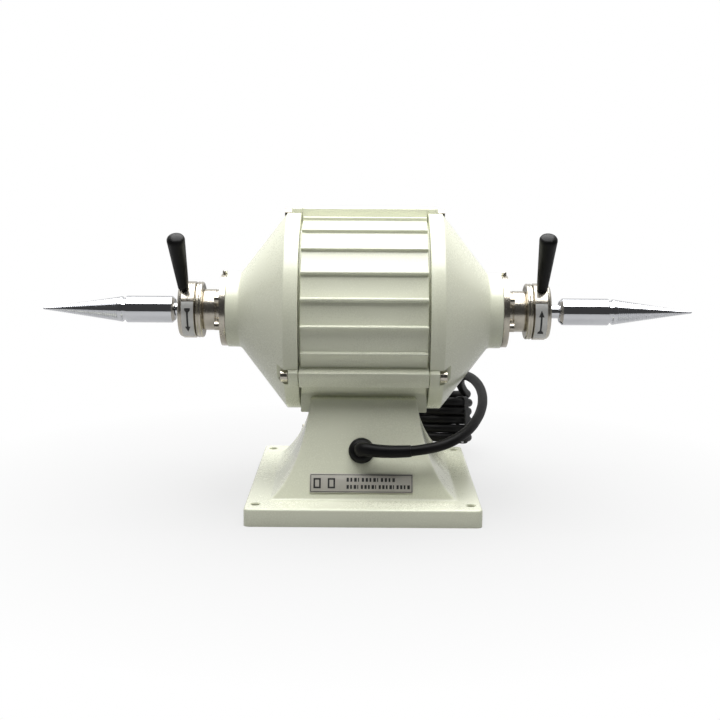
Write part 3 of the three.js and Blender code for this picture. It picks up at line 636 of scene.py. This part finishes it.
cover = slab("cover_sheet", COVER["half_width"], COVER["half_depth"], COVER["low"], COVER["high"])
bevel_along(cover, 2, 4, 6)
soften(cover, 0.2, 2)
for x, y in COVER_SCREWS:
    drill(cover, (x, y, 1), (0, 0, 1), 2.2, 6)
zinc_steel = finish(
    "zinc_steel", (0.52, 0.53, 0.54), (0.44, 0.45, 0.47), 40, (900, 0.01), (0.3, 0.5), 1.0)
fit(cover, zinc_steel, "frame", "plain_steel", "bottom_cover")
for index, (x, y) in enumerate(COVER_SCREWS):
    screw = turned(f"cover_screw_{index + 1}", [
        (-0.05, 0), (-0.05, 3.6), (-0.35, 3.7), (-2, 2), (-8, 1.9), (-8.6, 0)], 32)
    for angle in (0, 90):
        slot_cut = block("cross_cut", (-1.2, -2.4, -0.45), (1, 2.4, 0.45))
        place(slot_cut, Matrix.Rotation(math.radians(angle), 4, "X"))
        combine(screw, slot_cut)
    shade(screw)
    place(screw, shifted(x, y, 0.05) @ Matrix.Rotation(math.pi / 2, 4, "Y"))
    fit(screw, zinc_steel, "frame", "plain_steel")


# ---- the rating label ----------------------------------------------------------------------
# A thin brushed foil plate glued to the sloping front, printed with a dark border. Its print is
# only plain bars, which stand for the lines of a rating.
LABEL = {"x": -1.5, "z": 28, "half_width": 42, "half_height": 7.8, "thick": 0.8}
LINE_WIDTH = 0.55
BARS = [(-38.9, 2.6, 4.4), (-27.3, 2.6, 4.4)]  # two plain marks: (from x, half height, length)
ROWS = ((2.9, 13, 3.1), (-2.9, 18, 2.9))  # rows of plain bars: (height, how many, pitch)
BAR_LENGTHS = (1.9, 1.5, 2.1, 0.9, 1.8)

foil_plate = slab("foil_plate", LABEL["half_width"], LABEL["half_height"], 0.2, 0.2 + LABEL["thick"])
bevel_along(foil_plate, 2, 0.8, 4)
soften(foil_plate, 0.15, 2)
place(foil_plate, on_face(-1, LABEL["x"], LABEL["z"]))
brushed_foil = finish(
    "brushed_foil", (0.60, 0.575, 0.52), (0.54, 0.52, 0.47), 60, (1300, 0.008), (0.34, 0.46), 0.35)
fit(foil_plate, brushed_foil, "frame", "label_foil", "label_plate")


def printed(name, low, high):
    """A flat patch of ink on the label, between two corners."""
    top = 0.2 + LABEL["thick"]
    patch = block(name, (*low, top - 0.05), (*high, top + 0.06))
    soften(patch, 0.03, 1)
    return patch


ink_parts = []
edge_x, edge_y = LABEL["half_width"] - 0.9, LABEL["half_height"] - 0.9
for side in (-1, 1):
    ink_parts.append(printed(
        "ink", (-edge_x, side * edge_y - LINE_WIDTH / 2), (edge_x, side * edge_y + LINE_WIDTH / 2)))
    ink_parts.append(printed(
        "ink", (side * edge_x - LINE_WIDTH / 2, -edge_y), (side * edge_x + LINE_WIDTH / 2, edge_y)))
for start, half_height, length in BARS:
    ring = printed("ink", (start, -half_height - 1.6), (start + length + 1.6, half_height + 1.6))
    combine(ring, block(
        "ink_hole", (start + 1.4, -half_height - 0.2, 0), (start + length + 0.2, half_height + 0.2, 3)))
    ink_parts.append(ring)
for height, count, pitch in ROWS:
    for number in range(count):
        start = -12 + number * pitch
        length = BAR_LENGTHS[number % len(BAR_LENGTHS)]
        ink_parts.append(printed("ink", (start, height - 1.6), (start + length, height + 1.6)))
label_print = joined("label_print", ink_parts)
place(label_print, on_face(-1, LABEL["x"], LABEL["z"]))
printing_ink = finish(
    "printing_ink", (0.02, 0.02, 0.02), (0.035, 0.034, 0.033), 80, (1500, 0.004), (0.4, 0.6))
fit(label_print, printing_ink, "frame", "label_foil")


# ---- inside the pedestal -------------------------------------------------------------------
# The run capacitor, the terminal block, the switch's body and the four screws that hold the
# motor's foot. They keep their plain designed shapes, because the castings hide them.
grey_resin = finish("grey_resin", (0.07, 0.075, 0.08), (0.09, 0.095, 0.1), 50, (900, 0.03), (0.4, 0.6))
turned_steel = finish(
    "turned_steel", (0.50, 0.51, 0.52), (0.42, 0.43, 0.45), 70, (1200, 0.008), (0.25, 0.42), 1.0)


def refinish(material, slot, *nodes):
    """Gives CAD nodes that stay as they are a material."""
    for node in nodes:
        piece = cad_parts[node]
        piece.data.materials.clear()
        piece.data.materials.append(material)


refinish(grey_resin, "grey_plastic", "run_capacitor", "terminal_block", "switch_body")
refinish(turned_steel, "plain_steel", *(f"motor_mount_screw_{number}" for number in (1, 2, 3, 4)))


# ---- the speed switch ----------------------------------------------------------------------
# A black dial plate on the operator's face with the numbers 0, 1 and 2 printed on it, and a
# moulded rotary knob with a white pointer line, pushed on the switch's spindle.
DIAL = {"half": 25, "corner": 5, "thick": 1.6, "marks": 21}
FLUTE = {"circle": 16.7, "radius": 1.25, "clear_of_grip": 0.36}
KNOB = {"grip_half": 4, "grip_length": 14.7, "top": 17}

dial = slab("dial_plate", DIAL["half"], DIAL["half"], 0.3, 0.3 + DIAL["thick"])
bevel_along(dial, 2, DIAL["corner"], 8)
soften(dial, 0.4, 3)
drill(dial, (0, 0, 1), (0, 0, 1), 4, 8)
shade(dial)
place(dial, on_face(1, 0, SWITCH_Z))
fit(dial, moulded_black, "frame", "black_plastic", "switch_plate")

marks = []
for number, angle in (("0", 90), ("1", 180), ("2", 0)):
    bpy.ops.object.select_all(action="DESELECT")
    bpy.ops.object.text_add()
    figure = bpy.context.object
    figure.data.body = number
    figure.data.size = 6.5 * MM
    figure.data.align_x = "CENTER"
    figure.data.align_y = "CENTER"
    figure.data.extrude = 0.05 * MM
    bpy.ops.object.convert(target="MESH")
    figure = bpy.context.object
    weld(figure)
    turn = math.radians(angle)
    spot = Vector((math.cos(turn), math.sin(turn), 0)) * DIAL["marks"] + Vector((0, 0, 0.3 + DIAL["thick"]))
    place(figure, on_face(1, 0, SWITCH_Z) @ Matrix.Rotation(math.pi, 4, "Z") @ Matrix.Translation(spot * MM))
    marks.append(figure)
dial_figures = joined("dial_figures", marks)
white_ink = finish("white_ink", (0.75, 0.75, 0.72), (0.68, 0.68, 0.65), 80, (1500, 0.004), (0.45, 0.6))
fit(dial_figures, white_ink, "frame", "black_plastic")

knob = turned("rotary_knob", [
    (1.2, 0), (1.2, 3.2), (2.4, 3.2), (2.4, 15.9), (3.6, 15.9), (6.2, 14.4), (6.8, 12.6), (6.8, 0)], 96)
soften(knob, 0.5, 3, 24)
place(knob, UPRIGHT)
grip = block(
    "knob_grip", (-KNOB["grip_half"], -KNOB["grip_length"], 5),
    (KNOB["grip_half"], KNOB["grip_length"], KNOB["top"]))
soften(grip, 1.5, 4)
combine(knob, grip, "UNION")
for degrees in range(120, 421, 10):
    across, along = math.cos(math.radians(degrees)), math.sin(math.radians(degrees))
    if abs(across) > FLUTE["clear_of_grip"]:
        centre = (FLUTE["circle"] * across, FLUTE["circle"] * along, 4)
        drill(knob, centre, (0, 0, 1), FLUTE["radius"], 8, 10)
shade(knob, 32)
place(knob, on_face(1, 0, SWITCH_Z))
fit(knob, moulded_black, "switch_knob", "black_plastic", "switch_knob")
pointer = block("knob_pointer", (-0.7, 2, KNOB["top"] - 0.1), (0.7, KNOB["grip_length"] - 1.6, KNOB["top"]))
soften(pointer, 0.04, 1)
pointer.data.transform(Matrix.Translation((0, 0, 0.05 * MM)))
place(pointer, on_face(1, 0, SWITCH_Z))
fit(pointer, white_ink, "switch_knob", "black_plastic")


# ---- the motor housing ---------------------------------------------------------------------
# One aluminium casting with low cooling fins over its top and sides and flat panels between.
# Three wide lands take the bell screws, and a machined foot drops into the pedestal's pocket.
SHAFT_HEIGHT = (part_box("motor_shaft")[0].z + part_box("motor_shaft")[1].z) / 2 / MM
ON_SHAFT = shifted(0, 0, SHAFT_HEIGHT)
# A fin stands at each step of FIN["pitch"] degrees from the top, but a land at each eighth step.
HOUSING = {"half_length": 53.1, "fin_half_length": 51.6, "bore": 70, "ring": 76.5}
FIN = {"pitch": 15.5, "steps": 8, "root": 81.2, "tip": 84, "root_half": 1.4, "tip_half": 1.1}
LAND = {"angles": (90, 214, 326), "radius": 87.8, "half_width": 8.1, "half_length": 53.0}
UNDERSIDE = (230, 246, 262, 278, 294, 310)  # corners of the plain wall below the two lower lands
FOOT = {"half_length": 52.3, "half_width": 49.6, "low": 80.3, "top": 101.5}


def across_shaft(angle):
    """The turn that takes +Z to an angle measured from the -Y side upwards, round the shaft."""
    return Matrix.Rotation(math.radians(90 - angle), 4, "X")


def housing_corners():
    """The fins and the plain underside, as the corners of a section across the shaft."""
    section = []
    for step in range(-FIN["steps"], FIN["steps"] + 1):
        fin = [
            (-FIN["root_half"], FIN["root"]), (-FIN["tip_half"], FIN["tip"]),
            (FIN["tip_half"], FIN["tip"]), (FIN["root_half"], FIN["root"])]
        at_land = step % FIN["steps"] == 0
        corners = [(0, FIN["root"])] if at_land else fin
        section += [(90 + step * FIN["pitch"], corner) for corner in corners]
    section += [(angle, (0, FIN["root"])) for angle in UNDERSIDE]
    return [
        across_shaft(angle) @ (Vector((-HOUSING["fin_half_length"], across, radius)) * MM)
        for angle, (across, radius) in section]


corners = housing_corners()
housing = drawn_line("finned_housing", corners + corners[:1])
bpy.ops.mesh.remove_doubles(threshold=0.00005)
bpy.ops.mesh.select_all(action="SELECT")
bpy.ops.mesh.edge_face_add()
bpy.ops.mesh.extrude_region_move(
    TRANSFORM_OT_translate={"value": (2 * HOUSING["fin_half_length"] * MM, 0, 0)})
face_outwards()
soften(housing, 0.6, 3, 32)
ring = turned("end_ring", [
    (-HOUSING["half_length"], 0), (-HOUSING["half_length"], HOUSING["ring"]),
    (HOUSING["half_length"], HOUSING["ring"]), (HOUSING["half_length"], 0)], 144)
combine(housing, ring, "UNION")
for angle in LAND["angles"]:
    land = slab("land", LAND["half_length"], LAND["half_width"], 72, LAND["radius"])
    soften(land, 0.9, 3)
    place(land, across_shaft(angle))
    combine(housing, land, "UNION")
foot = slab(
    "foot", FOOT["half_length"], FOOT["half_width"], FOOT["low"] - SHAFT_HEIGHT,
    FOOT["top"] - SHAFT_HEIGHT)
soften(foot, 1.0, 3)
combine(housing, foot, "UNION")
bore = turned("bore", [(-60, 0), (-60, HOUSING["bore"]), (60, HOUSING["bore"]), (60, 0)], 144)
combine(housing, bore)
combine(housing, slab("milling", 60, 60, 60 - SHAFT_HEIGHT, FOOT["low"] - SHAFT_HEIGHT))
weld(housing)
shade(housing, 33)
place(housing, ON_SHAFT)
fit(housing, ivory_enamel, "frame", "ivory_alloy", "motor_housing")


# ---- inside the motor ----------------------------------------------------------------------
# Stamped laminations, varnished copper winding, the cast rotor, its ground shaft, two ball
# bearings with a preload washer, and the collets and closers. They keep their designed shapes.
silicon_steel = finish(
    "silicon_steel", (0.20, 0.21, 0.23), (0.15, 0.15, 0.17), 120, (1600, 0.02), (0.4, 0.6), 0.9)
varnished_copper = finish(
    "varnished_copper", (0.50, 0.17, 0.07), (0.36, 0.11, 0.045), 220, (1400, 0.06), (0.28, 0.45), 0.7)
refinish(silicon_steel, "laminations", "stator_core", "rotor_core")
refinish(varnished_copper, "copper_wire", "stator_winding")
refinish(turned_steel, "plain_steel", "motor_shaft", "left_bearing", "right_bearing")
refinish(turned_steel, "plain_steel", "preload_washer", "left_collet", "right_collet")
refinish(turned_steel, "plain_steel", "left_closer_sleeve", "right_closer_sleeve")


# ---- the end bells -------------------------------------------------------------------------
# Two identical cone-shaped aluminium castings that carry the bearings. Each spigots into the
# housing and is pulled up by three cap screws, which sit in pockets behind square lugs.
LUG = {"face": 53.4, "back": 61.6, "foot": 74}
SCREW_CIRCLE = 82
OUTWARD = {"left": -1, "right": 1}
SIDES = {"left": Matrix.Rotation(math.pi, 4, "Z"), "right": Matrix.Identity(4)}


def fit_both(model, name, material, slot, node):
    """Copies a piece made for the right-hand end to both ends, fits them and clears the model."""
    for side, turn in SIDES.items():
        piece = copy_of(model, f"{side}_{name}")
        place(piece, ON_SHAFT @ turn)
        fit(piece, material, "frame", slot, f"{side}_{node}")
    bpy.data.objects.remove(model)


bell = turned("bell", [
    (47.5, 66), (47.5, 69.7), (53.4, 69.7), (53.4, 84), (65.0, 84), (66.0, 82.9), (103.7, 34.4),
    (105.6, 32.2), (108, 31.8), (117, 31.8), (117, 23.8), (97.7, 23.8), (97.7, 20.5), (90, 20.5),
    (90, 43.7), (72.4, 66), (47.5, 66)], 144)
soften(bell, 0.7, 3, 24)
for angle in LAND["angles"]:
    lug = block(
        "lug", (LUG["face"], -LAND["half_width"], LUG["foot"]),
        (LUG["back"], LAND["half_width"], LAND["radius"]))
    soften(lug, 0.9, 3)
    place(lug, across_shaft(angle))
    combine(bell, lug, "UNION")
    pocket = block(
        "pocket", (LUG["back"], -LAND["half_width"], SCREW_CIRCLE - 5.8),
        (76, LAND["half_width"], SCREW_CIRCLE + 12))
    bevel_along(pocket, 0, 1.6, 4, lambda x, y, z: z < SCREW_CIRCLE - 5)
    place(pocket, across_shaft(angle))
    combine(bell, pocket)
shade(bell, 30)
fit_both(bell, "bell_casting", ivory_enamel, "ivory_alloy", "end_bell")


# ---- the bell screws -----------------------------------------------------------------------
# Nickel-plated socket cap screws, three to an end bell. Each head is turned, with a hexagon
# socket, and bears on the back of a lug.
def make_marks():
    """Fine rings left by turning or polishing about the shaft's direction."""
    group, given, result = new_group(
        "turning_marks",
        [("Ring Scale", "Float", 2500), ("Ring Depth", "Float", 0.000004), ("Normal", "Vector", None)],
        [("Normal", "Vector"), ("Marks", "Float")],
    )
    spot = add_node(group, "TexCoord")
    stretch = add_node(group, "Mapping", Scale=(1, 0.012, 0.012))
    rings = add_node(group, "TexNoise", Detail=3.0, Roughness=0.6)
    bump = add_node(group, "Bump", Strength=1.0)
    link = group.links.new
    link(spot.outputs["Object"], stretch.inputs["Vector"])
    link(stretch.outputs["Vector"], rings.inputs["Vector"])
    link(given.outputs["Ring Scale"], rings.inputs["Scale"])
    link(rings.outputs["Fac"], bump.inputs["Height"])
    link(given.outputs["Ring Depth"], bump.inputs["Distance"])
    link(given.outputs["Normal"], bump.inputs["Normal"])
    link(bump.outputs["Normal"], result.inputs["Normal"])
    link(rings.outputs["Fac"], result.inputs["Marks"])
    return group


TURNING_MARKS = make_marks()


def add_marks(material, scale, depth):
    """Puts turning marks over a metal's grain; depth is in millimetres."""
    tree = material.node_tree
    marks = add_node(tree, "Group", node_tree=TURNING_MARKS, Ring_Scale=scale, Ring_Depth=depth * MM)
    tree.links.new(tree.nodes["mottle"].outputs["Normal"], marks.inputs["Normal"])
    tree.links.new(marks.outputs["Normal"], tree.nodes["Principled BSDF"].inputs["Normal"])


def cap_screw(name, head, length, shank, reach):
    """A socket cap screw along +X, the underside of its head at x = 0."""
    screw = turned(name, [
        (-reach, 0), (-reach, shank - 0.4), (-reach + 0.4, shank), (0, shank), (0, head), (length, head),
        (length, 0)], 48)
    soften(screw, 0.4, 3)
    drill(screw, (length, 0, 0), (1, 0, 0), head * 0.53, length * 1.2, 6)
    weld(screw)
    shade(screw)
    return screw


warm_nickel = finish(
    "warm_nickel", (0.64, 0.60, 0.52), (0.56, 0.52, 0.44), 60, (1000, 0.006), (0.16, 0.3), 1.0)
add_marks(warm_nickel, 2200, 0.004)
for number, angle in enumerate(LAND["angles"], 1):
    screw = cap_screw("screw", 5, 6, 2.9, 25)
    place(screw, across_shaft(angle) @ shifted(LUG["back"] + 0.3, 0, SCREW_CIRCLE))
    fit_both(screw, f"bell_cap_screw_{number}", warm_nickel, "nickel_plate", f"bell_screw_{number}")


# ---- the sleeve flanges --------------------------------------------------------------------
# A nickel-plated steel flange with a long neck closes each hub. Its journal carries the lever
# ring, four cap screws hold it, and a slotted plug on top closes the oil hole.
OIL_HOLE_X = 119.8
FLANGE_SCREWS = {"circle": 24, "angles": (28, 152, 208, 332)}

flange = turned("flange", [
    (112.8, 15), (112.8, 23.3), (117.3, 23.3), (117.3, 31), (122.3, 31), (122.3, 18.6), (123.3, 17.6),
    (125.6, 17.6), (126, 17.2), (126.6, 17.2), (127, 17.6), (136.9, 17.6), (137.7, 17), (154.6, 17),
    (154.6, 13.6), (120, 13.6), (118, 15), (112.8, 15)], 128)
soften(flange, 0.25, 2, 24)
drill(flange, (OIL_HOLE_X, 0, 32), (0, 0, 1), 1.8, 12, 24)
shade(flange, 30)
fit_both(flange, "sleeve", warm_nickel, "nickel_plate", "sleeve_flange")
for number, angle in enumerate(FLANGE_SCREWS["angles"], 1):
    screw = cap_screw("screw", 3.8, 4.2, 2, 4.6)
    place(screw, across_shaft(angle) @ shifted(122.6, 0, FLANGE_SCREWS["circle"]))
    fit_both(screw, f"flange_cap_screw_{number}", warm_nickel, "nickel_plate", f"flange_screw_{number}")
oil_plug = turned("oil_plug", [
    (26, 0), (26, 1.2), (26.4, 1.4), (31.2, 1.4), (31.2, 2), (33.4, 2), (34, 1.5), (34, 0)], 32)
combine(oil_plug, block("slot", (33, -3, -0.3), (35, 3, 0.3)))
soften(oil_plug, 0.12, 2)
place(oil_plug, shifted(OIL_HOLE_X, 0, 0) @ UPRIGHT)
fit_both(oil_plug, "oil_plug", warm_nickel, "nickel_plate", "oil_screw")


# ---- the back rings ------------------------------------------------------------------------
# A plain nickel ring pressed on each journal behind the lever ring, which runs against it.
back = turned("back", [
    (138, 17.3), (138, 23.2), (138.8, 24), (140.2, 24), (140.5, 23.6), (141.1, 23.6), (141.4, 24),
    (142.6, 24), (143.4, 23.2), (143.4, 17.3), (138, 17.3)], 128)
soften(back, 0.2, 2, 24)
fit_both(back, "thrust_ring", warm_nickel, "nickel_plate", "back_ring")


# ---- the lever rings -----------------------------------------------------------------------
# A nickel ring on each journal that opens the chuck when it is turned. Its band carries a silver
# foil with a plain black arrow, and a steel stud for the lever is screwed into its rim.
LEVER_SET = {"left": {"at": 153, "lean": -35, "tilt": 1.5}, "right": {"at": 150.8, "lean": 33, "tilt": 0}}
FOIL = {"from": 144.5, "to": 154.7, "top": 22, "bottom": -62}
ARROW = {"middle": 149.6, "tail": 2.4, "shaft": 0.8, "head": 2.3, "low": -44, "high": 9}


def lever_frame(side):
    """The matrix that stands a lever's piece, made upright on the shaft's line, in its place."""
    own = LEVER_SET[side]
    return (
        ON_SHAFT @ SIDES[side] @ shifted(own["at"], 0, 0)
        @ Matrix.Rotation(math.radians(own["lean"]), 4, "X")
        @ Matrix.Rotation(math.radians(own["tilt"]), 4, "Y"))


def arrow_half_width(share):
    """Half the arrow's width from its tail (0) to its point (1): a block, a thin bar and a head."""
    if share < 0.17:
        return ARROW["tail"]
    if share < 0.74:
        return ARROW["shaft"]
    return ARROW["head"] * (1 - share) / 0.26


def wrapped_patch(name, rows, radius):
    """A thin patch bent round the shaft: rows of (angle from the front upwards, low x, high x)."""
    bpy.ops.object.select_all(action="DESELECT")
    bpy.ops.mesh.primitive_grid_add(x_subdivisions=1, y_subdivisions=len(rows) - 1, size=2)
    patch = bpy.context.object
    patch.name = name
    for vertex in patch.data.vertices:
        row = round((vertex.co.y + 1) / 2 * (len(rows) - 1))
        angle, low, high = rows[row]
        turn = math.radians(angle)
        x = high if vertex.co.x > 0 else low
        vertex.co = Vector((x, -radius * math.cos(turn), radius * math.sin(turn))) * MM
    modify(patch, "SOLIDIFY", thickness=0.08 * MM, offset=0)
    edit_whole(patch)
    face_outwards()
    shade(patch)
    return patch


ring = turned("ring", [
    (144, 17.35), (144, 23.6), (144.6, 24.3), (155, 24.3), (155.4, 23.7), (156, 23.5), (157, 23.3),
    (158.4, 21.9), (158.4, 8), (155, 8), (155, 17.35), (144, 17.35)], 144)
soften(ring, 0.25, 3, 24)
silver_foil = finish(
    "silver_foil", (0.70, 0.70, 0.68), (0.62, 0.62, 0.60), 90, (1500, 0.006), (0.34, 0.5), 0.55)
for side, turn in SIDES.items():
    piece = copy_of(ring, f"{side}_cam_ring")
    place(piece, ON_SHAFT @ turn)
    bpy.ops.object.select_all(action="DESELECT")
    bpy.ops.mesh.primitive_cylinder_add(
        vertices=32, radius=3.3 * MM, depth=12 * MM, location=(0, 0, 24 * MM))
    stud_hole = bpy.context.object
    bpy.ops.object.transform_apply(location=True, rotation=True, scale=True)
    place(stud_hole, lever_frame(side))
    combine(piece, stud_hole)
    shade(piece, 30)
    fit(piece, warm_nickel, f"{side}_lever", "nickel_plate", f"{side}_lever_ring")

    sign = OUTWARD[side]
    wrap = range(FOIL["bottom"], FOIL["top"] + 1, 3)
    foil_rows = [(angle, sign * FOIL["from"], sign * FOIL["to"]) for angle in wrap]
    foil = wrapped_patch(f"{side}_direction_foil", foil_rows, 24.36)
    place(foil, ON_SHAFT)
    fit(foil, silver_foil, f"{side}_lever", "label_foil")
    shares = [0, 0.085, 0.17, 0.1701, 0.3, 0.45, 0.6, 0.7399, 0.74, 0.83, 0.92, 0.995]
    span = ARROW["high"] - ARROW["low"]
    rows = []
    for share in shares:
        half_width = arrow_half_width(share)
        angle = ARROW["low"] + share * span if side == "right" else ARROW["high"] - share * span
        rows.append((angle, sign * ARROW["middle"] - half_width, sign * ARROW["middle"] + half_width))
    arrow = wrapped_patch(f"{side}_direction_arrow", rows, 24.44)
    place(arrow, ON_SHAFT)
    fit(arrow, printing_ink, f"{side}_lever", "label_foil")
bpy.data.objects.remove(ring)


# ---- the levers ----------------------------------------------------------------------------
# A tapered, domed handle of black phenolic moulding, screwed on a steel stud in each lever ring.
# The left one leans a little outwards, as it was pushed home on its thread.
stud = turned("stud", [
    (19, 0), (19, 2.6), (19.4, 3), (33.6, 3), (34, 2.6), (34, 0)], 48)
soften(stud, 0.12, 2)
place(stud, UPRIGHT)
handle = turned("handle", [
    (24.7, 0), (24.7, 4.0), (25.4, 4.6), (40, 5.5), (60, 6.65), (74, 7.45), (75.6, 7.6), (77, 7.4),
    (78.2, 6.7), (79.1, 5.4), (79.7, 3.6), (80, 1.6), (80, 0)], 72)
shade(handle, 30)
soften(handle, 0.2, 2, 40)
drill(handle, (24, 0, 0), (1, 0, 0), 3.3, 20, 32)
shade(handle, 30)
place(handle, UPRIGHT)
for side in SIDES:
    piece = copy_of(stud, f"{side}_handle_stud")
    place(piece, lever_frame(side))
    fit(piece, turned_steel, f"{side}_lever", "plain_steel", f"{side}_lever_stud")
    piece = copy_of(handle, f"{side}_handle")
    place(piece, lever_frame(side))
    fit(piece, moulded_black, f"{side}_lever", "black_plastic", f"{side}_lever_handle")
bpy.data.objects.remove(stud)
bpy.data.objects.remove(handle)


# ---- the tapered spindles ------------------------------------------------------------------
# Turned from bar, threaded along the cone and chrome-plated: a plain barrel, a groove, and a
# long cone with a fine spiral thread that a polishing buff screws itself on. They pull out.
SPINDLE = {"length": 114.6, "cone_base": 46.4, "cone": 10.9}
THREAD = {"pitch": 1.75, "depth": 0.55, "steps": 6, "point": 1.5, "point_radius": 0.9}


def spindle_outline(tip):
    """The outline from the shank to the point, with a step every sixth of the thread's pitch."""
    back = tip - SPINDLE["length"]
    base = back + SPINDLE["cone_base"]
    body = [
        (131, 0), (131, 4.95), (131.8, 5.75), (back - 0.5, 5.75), (back, 6.4), (back, 9.1),
        (back + 2.4, 11.5), (back + 2.8, 11.5), (back + 40.7, 11.5), (back + 41.2, 11.5),
        (back + 42, 11.15), (back + 42.3, 10.4), (back + 42.4, 9.5),
        (back + 44.8, 9.5), (back + 45.1, 10.6), (back + 45.6, 10.9)]
    run = tip - THREAD["point"] - base
    count = round(run / THREAD["pitch"] * THREAD["steps"])
    narrowing = THREAD["point_radius"] - SPINDLE["cone"]
    cone = [
        (base + run * step / count, SPINDLE["cone"] + narrowing * step / count) for step in range(count + 1)]
    return body + cone + [(tip - 0.4, 0.45), (tip, 0)]


def cut_thread(piece, tip, hand):
    """Sinks a spiral groove into the cone, fading in at its base and out at its point."""
    base = tip - SPINDLE["length"] + SPINDLE["cone_base"] + 0.6
    end = tip - THREAD["point"]
    for vertex in piece.data.vertices:
        x, y, z = vertex.co / MM
        if base < x < end:
            turn = math.atan2(y, z) / (2 * math.pi)
            wave = 0.5 + 0.5 * math.cos(2 * math.pi * (x / THREAD["pitch"] + hand * turn))
            fade = min(1, (x - base) / 2.5, (end - x) / 12 + 0.15)
            radius = math.hypot(y, z)
            share = 1 - THREAD["depth"] * fade * wave ** 1.5 / radius
            vertex.co = Vector((x, y * share, z * share)) * MM


mirror_chrome = finish(
    "mirror_chrome", (0.80, 0.81, 0.84), (0.76, 0.77, 0.80), 30, (900, 0.0015), (0.03, 0.07), 1.0)
add_marks(mirror_chrome, 1800, 0.0012)
for side, turn in SIDES.items():
    low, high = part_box(f"{side}_spindle")
    tip = max(abs(low.x), abs(high.x)) / MM
    spindle = turned(f"{side}_taper_spindle", spindle_outline(tip), 60)
    cut_thread(spindle, tip, OUTWARD[side])
    shade(spindle, 35)
    place(spindle, ON_SHAFT @ turn)
    fit(spindle, mirror_chrome, f"{side}_spindle", "polished_chrome", f"{side}_spindle")
